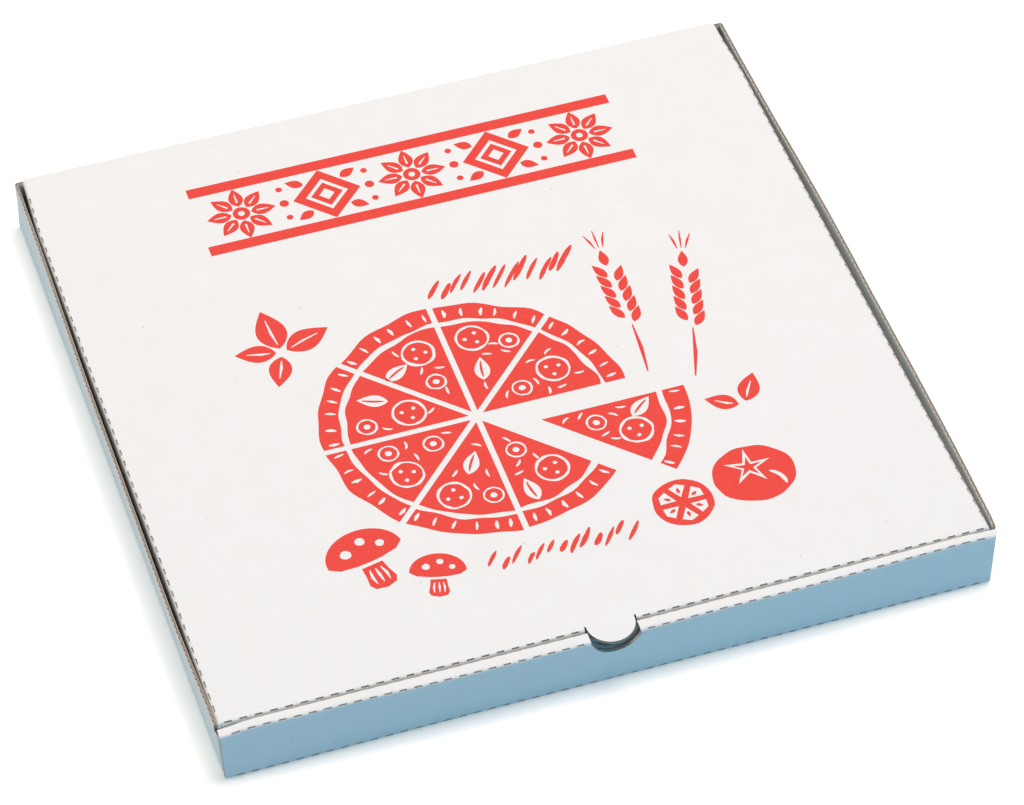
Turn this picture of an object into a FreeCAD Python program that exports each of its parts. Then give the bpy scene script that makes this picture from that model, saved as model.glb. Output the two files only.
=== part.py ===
"""Pizza box, folded from one die-cut sheet of thin corrugated board, in millimetres.

The sheet is divided at one fold only, the lid's hinge crease at the top of the back wall.
The tray is the floor, the walls, the roll-over front wall and the corner flaps. The lid is
the top panel with its tuck flaps and thumb tab. X runs to the right along the front, Y runs
to the back and Z is up. The origin is under the middle of the whole box, on the table.
"""
import FreeCAD, Part
import math
import os
import Sketcher
from FreeCAD import Placement, Rotation, Vector

# Driving sizes: alias in the sheet, value, what it measures.
SIZES = (
    ("box_width", 336.0, "outer width at the floor, side wall to side wall"),
    ("box_depth", 334.0, "outer depth, front wall face to back wall face"),
    ("box_height", 29.0, "outer height, table to the top of the lid"),
    ("board", 1.5, "thickness of the corrugated board"),
    ("layer_gap", 0.25, "air between the layers of the rolled front wall"),
    ("fold_round", 1.4, "outer radius of a creased fold"),
    ("lean_front", 2.2, "how far a side wall's top leans out at its front end"),
    ("lean_middle", 3.9, "how far a side wall's top leans out halfway along"),
    ("lean_back", 0.7, "how far a side wall's top leans out at its back end"),
    ("corner_flap", 62.0, "length of the flaps that close the four corners"),
    ("corner_slope", 5.0, "how much a corner flap narrows at its end, top and bottom"),
    ("lid_side_gap", 2.2, "side wall's outer face to the lid's side, at the floor"),
    ("front_clearance", 1.3, "rolled front wall to the lid's front flap"),
    ("lid_flap", 26.0, "height of the lid's tuck flaps, from the lid's top"),
    ("side_flap_setback", 5.0, "lid's edge to the near end of a side flap"),
    ("front_flap_setback", 3.0, "lid's side to the end of the front flap"),
    ("flap_slant", 12.0, "slanted cut at a tuck flap's lower corners"),
    ("tab_width", 20.6, "width of the half-round thumb tab at its root"),
    ("tab_overhang", 4.0, "how far the thumb tab reaches past the front wall"),
    ("slit_length", 1.8, "how far the cut round the tab runs on into the lid"),
    ("slit_width", 0.8, "width of that cut"),
    ("notch_width", 21.8, "width of the finger notch under the tab"),
    ("notch_drop", 9.0, "depth of the finger notch"),
    ("lock_width", 32.0, "width of a lock tab at the foot of the inner front wall"),
    ("lock_spread", 190.0, "distance between the middles of the two lock tabs"),
    ("lock_clearance", 0.3, "air round a lock tab in its slot"),
    ("hinge_gap", 0.3, "lid's hinge edge to the top of the back wall"),
    ("dash_pitch", 6.35, "distance from one crease cut to the next"),
    ("dash_length", 3.2, "length of a crease cut"),
    ("dash_width", 0.7, "width that a crease cut opens to"),
    ("dash_margin", 5.0, "box corner to the first cut of a crease"),
    ("notch_margin", 2.5, "finger notch to the last cut before it"),
)

# A crease cut goes through its fold at the middle of the bend.
BEND_ANGLE = 45.0
# From a square bend's outer planes to the middle of its round, as a share of the radius.
HALF_BEND = 1 - math.cos(math.radians(BEND_ANGLE))
SAME_PLACE = 1e-4


class Size:
    """A length with its value and the expression that ties it to the sheet."""

    def __init__(self, text, value):
        self.text = text
        self.value = value

    def joined(self, sign, other, value):
        return Size(f"({self.text} {sign} {text_of(other)})", value)

    def __add__(self, other):
        return self.joined("+", other, self.value + value_of(other))

    def __sub__(self, other):
        return self.joined("-", other, self.value - value_of(other))

    def __mul__(self, other):
        return self.joined("*", other, self.value * value_of(other))

    def __truediv__(self, other):
        return self.joined("/", other, self.value / value_of(other))

    def __neg__(self):
        return Size(f"(-1 * {self.text})", -self.value)


def text_of(length):
    return length.text if isinstance(length, Size) else str(length)


def value_of(length):
    return length.value if isinstance(length, Size) else float(length)


def write_sheet(doc):
    """Writes the driving sizes to the sheet and returns them by name."""
    sheet = doc.addObject("Spreadsheet::Sheet", "Sizes")
    sizes = {}
    for row, (alias, value, meaning) in enumerate(SIZES, start=1):
        sheet.set(f"A{row}", meaning)
        sheet.set(f"B{row}", str(value))
        sheet.setAlias(f"B{row}", alias)
        sizes[alias] = Size(f"Sizes.{alias}", value)
    doc.recompute()
    return sizes


class Layout:
    """The sheet's sizes, with the places that tray and lid share worked out from them."""

    def __init__(self, sizes):
        self.__dict__.update(sizes)
        self.zero = Size("0", 0.0)
        self.half_width = self.box_width / 2
        self.front = (self.tab_overhang - self.box_depth) / 2
        self.back = (self.tab_overhang + self.box_depth) / 2
        self.flap_front = self.front + self.board + self.layer_gap
        self.inner_front = self.flap_front + self.board + self.layer_gap
        self.ledge_back = self.inner_front + self.board
        self.flap_back = self.back - self.board - self.layer_gap
        self.under_top = self.box_height - self.board
        self.flap_top = self.under_top - self.layer_gap
        self.above_floor = self.board + self.layer_gap
        self.lid_front = self.ledge_back + self.front_clearance
        self.lid_half = self.half_width - self.lid_side_gap
        self.flap_foot = self.box_height - self.lid_flap
        self.side_flap_end = self.flap_back - self.board - self.side_flap_setback
        self.axis_y = self.back - self.board / 2
        self.axis_z = self.box_height - self.board / 2
        self.tab_half = self.tab_width / 2
        self.tab_tip = self.front - self.tab_overhang
        self.tab_reach = self.lid_front - self.tab_tip


def origin_plane(body, role):
    return next(item for item in body.Origin.OriginFeatures if item.Role == role)


def turns_left(start, through, end):
    first = through - start
    second = end - through
    return first.x * second.y - first.y * second.x > 0


def add_edge(sketch, start, end, through):
    """Adds an outline's edge; returns its number and which of its ends is the start."""
    if through is None:
        return sketch.addGeometry(Part.LineSegment(start, end)), 1
    if turns_left(start, through, end):
        return sketch.addGeometry(Part.Arc(start, through, end)), 1
    return sketch.addGeometry(Part.Arc(end, through, start)), 2


def hold(sketch, edge, end, place):
    """Ties one point of a sketch to its place on both axes."""
    for kind, axis, length in (("DistanceX", -2, place[0]), ("DistanceY", -1, place[1])):
        value = value_of(length)
        if abs(value) < SAME_PLACE:
            sketch.addConstraint(Sketcher.Constraint("PointOnObject", edge, end, axis))
            continue
        if value > 0:
            rule = Sketcher.Constraint(kind, -1, 1, edge, end, value)
        else:
            rule = Sketcher.Constraint(kind, edge, end, -1, 1, -value)
            length = -length
        number = sketch.addConstraint(rule)
        sketch.setExpression(f"Constraints[{number}]", length.text)


def draw_outline(sketch, corners):
    """Draws a closed outline. A corner is (u, v), or (u, v, (u, v)) before an arc."""
    places = [Vector(value_of(corner[0]), value_of(corner[1]), 0) for corner in corners]
    edges = []
    for index, corner in enumerate(corners):
        through = None
        if len(corner) > 2:
            through = Vector(value_of(corner[2][0]), value_of(corner[2][1]), 0)
        following = places[(index + 1) % len(places)]
        edges.append(add_edge(sketch, places[index], following, through))
    for index, (edge, start) in enumerate(edges):
        before, before_start = edges[index - 1]
        joint = Sketcher.Constraint("Coincident", before, 3 - before_start, edge, start)
        sketch.addConstraint(joint)
        hold(sketch, edge, start, corners[index][:2])
    for (edge, start), corner in zip(edges, corners):
        if len(corner) > 2:
            middle = Vector(value_of(corner[2][0]), value_of(corner[2][1]), 0)
            point = sketch.addGeometry(Part.Point(middle), True)
            hold(sketch, point, 1, corner[2])
            sketch.addConstraint(Sketcher.Constraint("PointOnObject", point, 1, edge))


def sketch_on(body, name, role, outlines, lift=None, tilt=None):
    """A sketch on an origin plane, lifted along the plane's normal, or moved and tilted."""
    sketch = body.newObject("Sketcher::SketchObject", name)
    sketch.AttachmentSupport = [(origin_plane(body, role), "")]
    sketch.MapMode = "FlatFace"
    if lift is not None:
        sketch.setExpression("AttachmentOffset.Base.z", lift.text)
    if tilt is not None:
        rotation, moves = tilt
        sketch.AttachmentOffset = Placement(Vector(), rotation)
        for axis, move in moves.items():
            sketch.setExpression(f"AttachmentOffset.Base.{axis}", move.text)
    for corners in outlines:
        draw_outline(sketch, corners)
    body.Document.recompute()
    return sketch


def box_corners(low_u, low_v, high_u, high_v):
    return [(low_u, low_v), (high_u, low_v), (high_u, high_v), (low_u, high_v)]


def add_feature(body, kind, name, sketch, length, side="One side", reverse=False):
    feature = body.newObject(f"PartDesign::{kind}", name)
    feature.Profile = sketch
    feature.SideType = side
    feature.Reversed = reverse
    feature.setExpression("Length", length.text)
    body.Document.recompute()
    return feature


def add_cut(body, name, sketch, length, side="One side", reverse=False):
    """A pocket that is sure to have cut something."""
    before = body.Shape.Volume
    feature = add_feature(body, "Pocket", name, sketch, length, side, reverse)
    if body.Shape.Volume >= before:
        raise RuntimeError(f"{name} cuts nothing")
    return feature


def add_mirror(body, name, originals):
    mirror = body.newObject("PartDesign::Mirrored", name)
    mirror.Originals = originals
    mirror.MirrorPlane = (origin_plane(body, "YZ_Plane"), [""])
    body.Tip = mirror
    body.Document.recompute()
    return mirror


def add_mirrored_row(body, at, name, cut, role, span):
    """Repeats a crease cut along an origin axis, and all of them across the middle."""
    row = body.newObject("PartDesign::LinearPattern", f"{name}Row")
    row.Direction = (origin_plane(body, role), [""])
    row.Mode = "Spacing"
    row.setExpression("Offset", at.dash_pitch.text)
    row.setExpression("Occurrences", f"floor({span.text} / {at.dash_pitch.text}) + 1")
    mirror = body.newObject("PartDesign::Mirrored", f"{name}Mirror")
    mirror.MirrorPlane = (origin_plane(body, "YZ_Plane"), [""])
    both = body.newObject("PartDesign::MultiTransform", f"{name}Set")
    both.Originals = [cut]
    both.Transformations = [row, mirror]
    both.Refine = False
    body.Tip = both
    body.Document.recompute()
    return both


def add_rounding(body, name, radius, chosen):
    """Rounds the straight edges of the body whose two ends pass the test."""
    edges = []
    for number, edge in enumerate(body.Shape.Edges, start=1):
        ends = [vertex.Point for vertex in edge.Vertexes]
        if len(ends) == 2 and chosen(*ends):
            edges.append(f"Edge{number}")
    base = body.Tip
    rounding = body.newObject("PartDesign::Fillet", name)
    rounding.Base = (base, edges)
    rounding.setExpression("Radius", radius.text)
    body.Document.recompute()
    return rounding


def near(value, length):
    return abs(value - value_of(length)) < SAME_PLACE


def along_x(y, z):
    """Picks the edges that run along X at this y and z."""
    return lambda one, other: all(near(end.y, y) and near(end.z, z) for end in (one, other))


def add_floor(body, at):
    half = at.half_width - at.board
    corners = box_corners(-half, at.front, half, at.back)
    sketch = sketch_on(body, "FloorOutline", "XY_Plane", [corners])
    return add_feature(body, "Pad", "Floor", sketch, at.board)


def add_side_fold(body, at):
    """The rounded fold between the floor and a side wall."""
    outer, inner = at.half_width, at.half_width - at.board * 2
    bend = at.fold_round * HALF_BEND
    section = [
        (inner, at.zero),
        (outer - at.fold_round, at.zero, (outer - bend, bend)),
        (outer, at.fold_round),
        (outer, at.board),
        (inner, at.board),
    ]
    sketch = sketch_on(body, "SideFoldSection", "XZ_Plane", [section], lift=-at.flap_front)
    return add_feature(body, "Pad", "SideFold", sketch, at.flap_back - at.flap_front,
                       reverse=True)


def add_side_wall(body, at):
    """A side wall: straight at the floor, bowed outwards along its top."""
    near_end, far_end = at.flap_front, at.flap_back
    middle = (near_end + far_end) / 2
    outer, inner = at.half_width, at.half_width - at.board
    foot = box_corners(inner, near_end, outer, far_end)
    top = [
        (inner + at.lean_front, near_end),
        (outer + at.lean_front, near_end, (outer + at.lean_middle, middle)),
        (outer + at.lean_back, far_end),
        (inner + at.lean_back, far_end, (inner + at.lean_middle, middle)),
    ]
    wall = body.newObject("PartDesign::AdditiveLoft", "SideWall")
    wall.Profile = sketch_on(body, "SideWallFoot", "XY_Plane", [foot], lift=at.board)
    wall.Sections = [sketch_on(body, "SideWallTop", "XY_Plane", [top], lift=at.box_height)]
    wall.Ruled = True
    body.Tip = wall
    body.Document.recompute()
    return wall


def add_corner_step(body, at):
    """The side wall is lower at its front end, where the ledge lies over it."""
    corners = box_corners(at.front, at.flap_top, at.ledge_back + at.layer_gap,
                          at.box_height + at.board)
    sketch = sketch_on(body, "CornerStepOutline", "YZ_Plane", [corners])
    return add_cut(body, "CornerStep", sketch, at.box_width, reverse=True)


def add_corner_flap(body, at, name, place, lean, reverse):
    """A flap folded in from a side wall's end, along the front or the back wall."""
    end = at.half_width - at.corner_flap
    root = at.half_width - at.board / 2
    corners = [
        (end, at.above_floor + at.corner_slope),
        (end + at.corner_slope, at.above_floor),
        (root, at.above_floor),
        (root + lean, at.flap_top),
        (end + at.corner_slope, at.flap_top),
        (end, at.flap_top - at.corner_slope),
    ]
    sketch = sketch_on(body, f"{name}Outline", "XZ_Plane", [corners], lift=-place)
    return add_feature(body, "Pad", name, sketch, at.board, reverse=reverse)


def add_front_and_back(body, at):
    """The back wall, and the front wall with the ledge that rolls over its top."""
    back_wall = box_corners(at.back - at.board, at.zero, at.back, at.under_top - at.hinge_gap)
    front_wall = [
        (at.front, at.zero),
        (at.front + at.board, at.zero),
        (at.front + at.board, at.under_top),
        (at.ledge_back, at.under_top),
        (at.ledge_back, at.box_height),
        (at.front, at.box_height),
    ]
    sketch = sketch_on(body, "WallSection", "YZ_Plane", [back_wall, front_wall])
    return add_feature(body, "Pad", "FrontAndBackWall", sketch, at.box_width, "Symmetric")


def add_inner_front_wall(body, at):
    """The inner front wall hangs from the ledge and stands on the floor."""
    section = box_corners(at.inner_front, at.above_floor, at.ledge_back,
                          at.box_height - at.board / 2)
    sketch = sketch_on(body, "InnerWallSection", "YZ_Plane", [section])
    width = (at.lid_half - at.layer_gap) * 2
    return add_feature(body, "Pad", "InnerFrontWall", sketch, width, "Symmetric")


def add_lock_slots_and_tabs(body, at):
    """Tabs at the inner wall's foot stand in slots in the floor and hold it down."""
    slots = []
    tabs = []
    for side in (-1, 1):
        middle = at.lock_spread / 2 * side
        half = at.lock_width / 2
        grown = half + at.lock_clearance
        slots.append(box_corners(middle - grown, at.inner_front - at.lock_clearance,
                                 middle + grown, at.ledge_back + at.lock_clearance))
        tabs.append(box_corners(middle - half, at.inner_front, middle + half, at.ledge_back))
    sketch = sketch_on(body, "LockSlotOutlines", "XY_Plane", slots)
    add_cut(body, "LockSlots", sketch, at.board, reverse=True)
    sketch = sketch_on(body, "LockTabOutlines", "XY_Plane", tabs, lift=at.layer_gap)
    return add_feature(body, "Pad", "LockTabs", sketch, at.board * 2)


def add_tray_folds(body, at):
    """Rounds the outer side of the tray's folds along the front and the back."""

    def fold(one, other):
        rows = (along_x(at.front, at.zero), along_x(at.back, at.zero),
                along_x(at.front, at.box_height), along_x(at.ledge_back, at.box_height))
        return any(row(one, other) for row in rows)

    return add_rounding(body, "LongFolds", at.fold_round, fold)


def add_finger_notch(body, at):
    """A half-round notch through the rolled front wall, under the thumb tab."""
    half = at.notch_width / 2
    lowest = at.box_height - at.notch_drop
    corners = [
        (half, at.box_height + at.board),
        (-half, at.box_height + at.board),
        (-half, at.box_height, (at.zero, lowest)),
        (half, at.box_height),
    ]
    sketch = sketch_on(body, "NotchOutline", "XZ_Plane", [corners], lift=-at.ledge_back)
    return add_cut(body, "FingerNotch", sketch, at.box_width, reverse=True)


def bend_cut_depth(at):
    """From the crest of a bend to just past the inside of its fold."""
    return (at.board - at.fold_round * HALF_BEND) * math.sqrt(2) + at.dash_width / 2


def add_front_crease_cuts(body, at, name, edge):
    """Cuts through a fold that runs along the front, on both sides of the tab."""
    bend = at.fold_round * HALF_BEND
    start = at.dash_margin - at.half_width
    dash = box_corners(start, -at.dash_width / 2, start + at.dash_length, at.dash_width / 2)
    tilt = (Rotation(Vector(1, 0, 0), BEND_ANGLE), {"y": edge + bend, "z": at.box_height - bend})
    sketch = sketch_on(body, f"{name}Dash", "XY_Plane", [dash], tilt=tilt)
    cut = add_cut(body, f"{name}Cut", sketch, bend_cut_depth(at))
    span = -start - at.notch_width / 2 - at.notch_margin - at.dash_length
    return add_mirrored_row(body, at, name, cut, "X_Axis", span)


def add_side_crease_cuts(body, at):
    """Cuts through the lid's two side folds."""
    bend = at.fold_round * HALF_BEND
    start = at.lid_front + at.dash_pitch
    dash = box_corners(-at.dash_width / 2, start, at.dash_width / 2, start + at.dash_length)
    tilt = (Rotation(Vector(0, 1, 0), BEND_ANGLE),
            {"x": at.lid_half - bend, "z": at.box_height - bend})
    sketch = sketch_on(body, "SideDash", "XY_Plane", [dash], tilt=tilt)
    cut = add_cut(body, "SideDashCut", sketch, bend_cut_depth(at))
    span = at.side_flap_end - at.dash_length - start
    return add_mirrored_row(body, at, "SideDashes", cut, "Y_Axis", span)


def make_tray(doc, at):
    body = doc.addObject("PartDesign::Body", "Tray")
    body.Label = "tray"
    add_floor(body, at)
    fold = add_side_fold(body, at)
    wall = add_side_wall(body, at)
    step = add_corner_step(body, at)
    front_flap = add_corner_flap(body, at, "FrontCornerFlap", at.flap_front,
                                 at.lean_front, True)
    back_flap = add_corner_flap(body, at, "BackCornerFlap", at.flap_back,
                                at.lean_back, False)
    add_mirror(body, "LeftSide", [fold, wall, step, front_flap, back_flap])
    add_front_and_back(body, at)
    add_inner_front_wall(body, at)
    add_lock_slots_and_tabs(body, at)
    add_tray_folds(body, at)
    add_finger_notch(body, at)
    add_front_crease_cuts(body, at, "LedgeDashes", at.front)
    return body


def add_panel(body, at):
    """The lid's top panel, rounded along its side folds."""
    half, top = at.lid_half, at.box_height
    bend = at.fold_round * HALF_BEND
    section = [
        (half, at.under_top),
        (half, top - at.fold_round, (half - bend, top - bend)),
        (half - at.fold_round, top),
        (at.fold_round - half, top, (bend - half, top - bend)),
        (-half, top - at.fold_round),
        (-half, at.under_top),
    ]
    sketch = sketch_on(body, "PanelSection", "XZ_Plane", [section], lift=-at.lid_front)
    return add_feature(body, "Pad", "Panel", sketch, at.axis_y - at.lid_front, reverse=True)


def add_front_round(body, at):
    """Rounds the panel's front fold, between the two side folds."""
    edge, top = at.lid_front, at.box_height
    bend = at.fold_round * HALF_BEND
    section = [
        (edge - at.board, top - at.fold_round),
        (edge, top - at.fold_round, (edge + bend, top - bend)),
        (edge + at.fold_round, top),
        (edge + at.fold_round, top + at.board),
        (edge - at.board, top + at.board),
    ]
    sketch = sketch_on(body, "FrontRoundSection", "YZ_Plane", [section])
    width = (at.lid_half - at.fold_round) * 2
    return add_cut(body, "FrontRound", sketch, width, "Symmetric")


def add_tab(body, at):
    """The half-round thumb tab, cut out of the front flap and flat with the panel."""
    root = at.lid_front + at.slit_length
    corners = [
        (at.tab_half, root),
        (-at.tab_half, root),
        (-at.tab_half, at.lid_front, (at.zero, at.tab_tip)),
        (at.tab_half, at.lid_front),
    ]
    sketch = sketch_on(body, "TabOutline", "XY_Plane", [corners], lift=at.under_top)
    return add_feature(body, "Pad", "ThumbTab", sketch, at.board)


def add_tab_slits(body, at):
    """The cut round the tab runs on through the crease at both ends of its root."""
    slits = []
    for side in (-1, 1):
        middle = (at.tab_half + at.slit_width / 2) * side
        half = at.slit_width / 2
        slits.append(box_corners(middle - half, at.lid_front - at.board,
                                 middle + half, at.lid_front + at.slit_length))
    sketch = sketch_on(body, "SlitOutlines", "XY_Plane", slits, lift=at.box_height)
    return add_cut(body, "TabSlits", sketch, at.board * 2)


def add_front_flap(body, at):
    """The front tuck flap, with the half-round hole that the tab leaves in it."""
    side = at.lid_half - at.front_flap_setback
    hole = at.tab_half + at.slit_width
    top = at.under_top
    corners = [
        (-side, top),
        (-hole, top, (at.zero, at.box_height - at.tab_reach)),
        (hole, top),
        (side, top),
        (side, at.flap_foot + at.flap_slant),
        (side - at.flap_slant, at.flap_foot),
        (at.flap_slant - side, at.flap_foot),
        (-side, at.flap_foot + at.flap_slant),
    ]
    sketch = sketch_on(body, "FrontFlapOutline", "XZ_Plane", [corners], lift=-at.lid_front)
    return add_feature(body, "Pad", "FrontFlap", sketch, at.board, reverse=True)


def add_side_flap(body, at):
    """A side tuck flap, which stands inside the side wall."""
    near_end = at.lid_front + at.side_flap_setback
    far_end = at.side_flap_end
    top = at.under_top
    corners = [
        (near_end, top),
        (near_end, at.flap_foot + at.flap_slant),
        (near_end + at.flap_slant, at.flap_foot),
        (far_end - at.flap_slant, at.flap_foot),
        (far_end, at.flap_foot + at.flap_slant),
        (far_end, top),
    ]
    sketch = sketch_on(body, "SideFlapOutline", "YZ_Plane", [corners],
                       lift=at.lid_half - at.board)
    return add_feature(body, "Pad", "SideFlap", sketch, at.board)


def add_hinge_edge(body, at):
    """The lid's hinge edge, half round about the hinge axis."""
    corners = [
        (at.axis_y - at.board, at.under_top),
        (at.axis_y, at.under_top, (at.back, at.axis_z)),
        (at.axis_y, at.box_height),
        (at.axis_y - at.board, at.box_height),
    ]
    sketch = sketch_on(body, "HingeEdgeSection", "YZ_Plane", [corners])
    width = (at.lid_half - at.fold_round) * 2
    return add_feature(body, "Pad", "HingeEdge", sketch, width, "Symmetric")


def make_lid(doc, at):
    body = doc.addObject("PartDesign::Body", "Lid")
    body.Label = "lid"
    add_panel(body, at)
    add_front_round(body, at)
    add_tab(body, at)
    add_front_flap(body, at)
    flap = add_side_flap(body, at)
    add_mirror(body, "OtherSideFlap", [flap])
    add_tab_slits(body, at)
    add_hinge_edge(body, at)
    add_front_crease_cuts(body, at, "FrontDashes", at.lid_front)
    add_side_crease_cuts(body, at)
    return body


def check(doc):
    """Stops the build if any object failed or any shape is unsound."""
    for item in doc.Objects:
        if "Invalid" in item.State or "Error" in item.State:
            raise RuntimeError(f"{item.Name} failed: {item.State}")
    for body in doc.findObjects("PartDesign::Body"):
        if body.Shape.isNull() or not body.Shape.isValid() or len(body.Shape.Solids) != 1:
            raise RuntimeError(f"{body.Label} is not one valid solid")


def main():
    doc = FreeCAD.newDocument("PizzaBox")
    at = Layout(write_sheet(doc))
    bodies = [make_tray(doc, at), make_lid(doc, at)]
    doc.recompute()
    check(doc)
    os.makedirs("parts", exist_ok=True)
    for body in bodies:
        body.Shape.exportStep(os.path.join("parts", f"{body.Label}.step"))
        box = body.Shape.BoundBox
        print(body.Label, round(body.Shape.Volume), "mm3", box)


main()
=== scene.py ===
"""Pizza box folded from one sheet of thin white-lined corrugated board, closed.

All sizes are in millimetres until a mesh is made. X runs to the right along the front wall,
Y runs to the hinge at the back and Z is up. The board is built as real board: an outer liner,
an inner liner and, at each cut edge, the open flutes between them.
"""
import math
import random
from collections import defaultdict

import bmesh
import bpy
from mathutils import Matrix, Vector
from mathutils.geometry import tessellate_polygon
from mathutils.noise import noise


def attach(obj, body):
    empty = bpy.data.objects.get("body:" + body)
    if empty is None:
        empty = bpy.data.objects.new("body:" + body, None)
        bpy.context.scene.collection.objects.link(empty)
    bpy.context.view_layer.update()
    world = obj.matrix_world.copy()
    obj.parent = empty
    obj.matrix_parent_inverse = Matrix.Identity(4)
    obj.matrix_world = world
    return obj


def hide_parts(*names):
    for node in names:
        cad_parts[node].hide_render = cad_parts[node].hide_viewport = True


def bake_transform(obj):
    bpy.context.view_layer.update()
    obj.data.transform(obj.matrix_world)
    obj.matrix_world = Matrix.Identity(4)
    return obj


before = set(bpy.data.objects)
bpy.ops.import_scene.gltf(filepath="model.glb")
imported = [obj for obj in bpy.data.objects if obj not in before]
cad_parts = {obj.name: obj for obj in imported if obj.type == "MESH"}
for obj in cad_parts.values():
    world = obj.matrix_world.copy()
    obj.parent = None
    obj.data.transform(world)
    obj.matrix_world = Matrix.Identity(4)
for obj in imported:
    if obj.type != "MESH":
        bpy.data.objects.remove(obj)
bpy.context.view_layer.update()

MM = 0.001
QUARTER = math.pi / 2

# The folded box. The side walls' tops step down in front of STEP_BACK, over STEP_RUN.
HALF_WIDTH = 168.0
FRONT = -165.0
BACK = 169.0
HEIGHT = 29.0
BOARD = 1.5
FOLD = 1.6
TIGHT_FOLD = 1.0
LEDGE_BACK = -160.0
FLAP_FRONT = -163.25
FLAP_BACK = 167.25
FLAP_TOP = 27.25
FLAP_FOOT = 1.75
FLAP_END = 106.0
FLAP_SLOPE = 5.0
WALL_END = 167.8
INNER_WALL_END = 166.2
STEP_BACK = -159.7
STEP_RUN = 0.2
HINGE_LINE = 26.9
LID_HINGE_LINE = 166.9

# The lid.
LID_FRONT = -158.7
LID_HALF = 165.8
LID_FLAP_FOOT = 3.0
LID_FLAP_SLANT = 12.0
FRONT_FLAP_HALF = 164.0
SIDE_FLAP_START = -153.7
SIDE_FLAP_END = 160.75
TAB_HALF = 10.3
SLIT = 0.8
SLIT_END = -156.9

# The finger notch and the lock tabs.
NOTCH_HALF = 10.9
NOTCH_LOW = 19.3
LOCK_MIDDLE = 95.0
LOCK_HALF = 16.0
LOCK_AIR = 0.3
LOCK_FOOT = 0.25

# The crease cuts: perforating rule cuts 1/8 inch and leaves 1/8 inch.
DASH_PITCH = 6.35
DASH_LENGTH = 3.2
FIRST_DASH = -163.0
DASHES_TO_NOTCH = 24
DASHES_TO_MIDDLE = 26
FIRST_SIDE_DASH = -152.35
SIDE_DASHES = 49
FIRST_FLOOR_DASH = -156.5
FLOOR_DASHES = 50

# The corrugated core: one flute every 3.3 mm, running from side to side of the sheet.
FLUTE_PITCH = 3.3
FLUTE_STEPS = 6
# An open flute is hollow to this depth. The medium in it starts a little inside the cut edge and
# ends a little before the hollow's back.
FLUTE_DEPTH = 0.8
MEDIUM_START = 0.12
MEDIUM_GAP = 0.1
# The medium's swing and half its thickness, as shares of the space between the liners.
FLUTE_SWING = 0.37
MEDIUM_HALF = 0.075
# The thickness of a liner, as a share of the board.
LINER_SHARE = 0.15
# The radius at the inner corner of a sharp fold.
CORE_CORNER = 0.05
# How deep in a crease cut its crushed core lies, as shares of the board: in the tray, in the
# lid's front fold, where the knife went deeper, and where it went nearly through.
TRAY_CRUSHED = (0.4, 0.8)
LID_CRUSHED = (0.5, 0.8)
DEEP_CRUSHED = (0.66, 0.92)
PIERCED = (0.88, 0.98)
# Two cut edges whose ways into the board add up to less than this face each other.
OPPOSED = 0.3
# The least cosine that a corner of the fluted core is drawn out by.
SHARPEST_MITRE = 0.6
# Slack for comparing a column with a limit that it lies on.
TOUCH = 1e-6
# The board's material slots.
OUTER_LINER, INNER_LINER, EDGE, HOLLOW = range(4)


def linear(colour):
    """An sRGB hex colour as linear RGBA."""
    values = [int(colour[place:place + 2], 16) / 255 for place in (0, 2, 4)]
    return [v / 12.92 if v <= 0.04045 else ((v + 0.055) / 1.055) ** 2.4 for v in values] + [1.0]


def mixed(low, high, share):
    """The value at a share of the way from low to high."""
    return low + (high - low) * share


def through(knots, place):
    """A smooth value between knots (place, value), level at each knot."""
    if place <= knots[0][0]:
        return knots[0][1]
    for (start, low), (end, high) in zip(knots, knots[1:]):
        if place <= end:
            share = (place - start) / (end - start)
            return mixed(low, high, share * share * (3 - 2 * share))
    return knots[-1][1]


def spread(low, high, count):
    """Even places from low to high, in that many steps."""
    return [mixed(low, high, step / count) for step in range(count + 1)]


def merged(*lists, least=0.25):
    """All the places of several lists in order, with near doubles dropped."""
    places = []
    for place in sorted(place for items in lists for place in items):
        if not places or place - places[-1] > least:
            places.append(place)
    return places


def dashes(first, count):
    """The spans (start, end) of a row of crease cuts."""
    return [(first + DASH_PITCH * step, first + DASH_PITCH * step + DASH_LENGTH)
            for step in range(count)]


def mirrored(spans):
    """The spans together with their mirror images on the other side of the middle."""
    return spans + [(-end, -start) for start, end in spans]


def inside(spans, place):
    return any(start < place < end for start, end in spans)


def ends(spans):
    """Where each span starts and ends, in one list."""
    return [end for span in spans for end in span]


LEDGE_DASHES = mirrored(dashes(FIRST_DASH, DASHES_TO_NOTCH))
LONG_DASHES = mirrored(dashes(FIRST_DASH, DASHES_TO_MIDDLE))
LID_SIDE_DASHES = dashes(FIRST_SIDE_DASH, SIDE_DASHES)
FLOOR_SIDE_DASHES = dashes(FIRST_FLOOR_DASH, FLOOR_DASHES)
# Places round a fold, as shares of its bend, for a crease cut in the middle, low on the front
# wall, across a sharp fold, in the lid's left fold and in its right one.
BEND = [0.0, 0.35, 0.5, 0.65, 1.0]
FOOT_BEND = [0.0, 0.3, 0.6, 0.76, 1.0]
SHARP_BEND = [0.0, 0.22, 0.5, 0.78, 1.0]
EDGE_BEND = [0.0, 0.22, 0.42, 0.6, 0.8, 1.0]
OVER_BEND = [0.0, 0.15, 0.45, 0.8, 1.0]
# How far up the front wall its foot's crease cuts reach, as a share of its height.
FOOT_CUT = 0.015


def cuts(spans, low=0.35, high=0.65):
    """Tells whether a place on a fold lies in one of its crease cuts."""
    return lambda place, share: (inside(spans, place) and low < share < high)


def new_object(name, data):
    """Puts a mesh, lamp or camera in the scene."""
    made = bpy.data.objects.new(name, data)
    bpy.context.scene.collection.objects.link(made)
    return made


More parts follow.
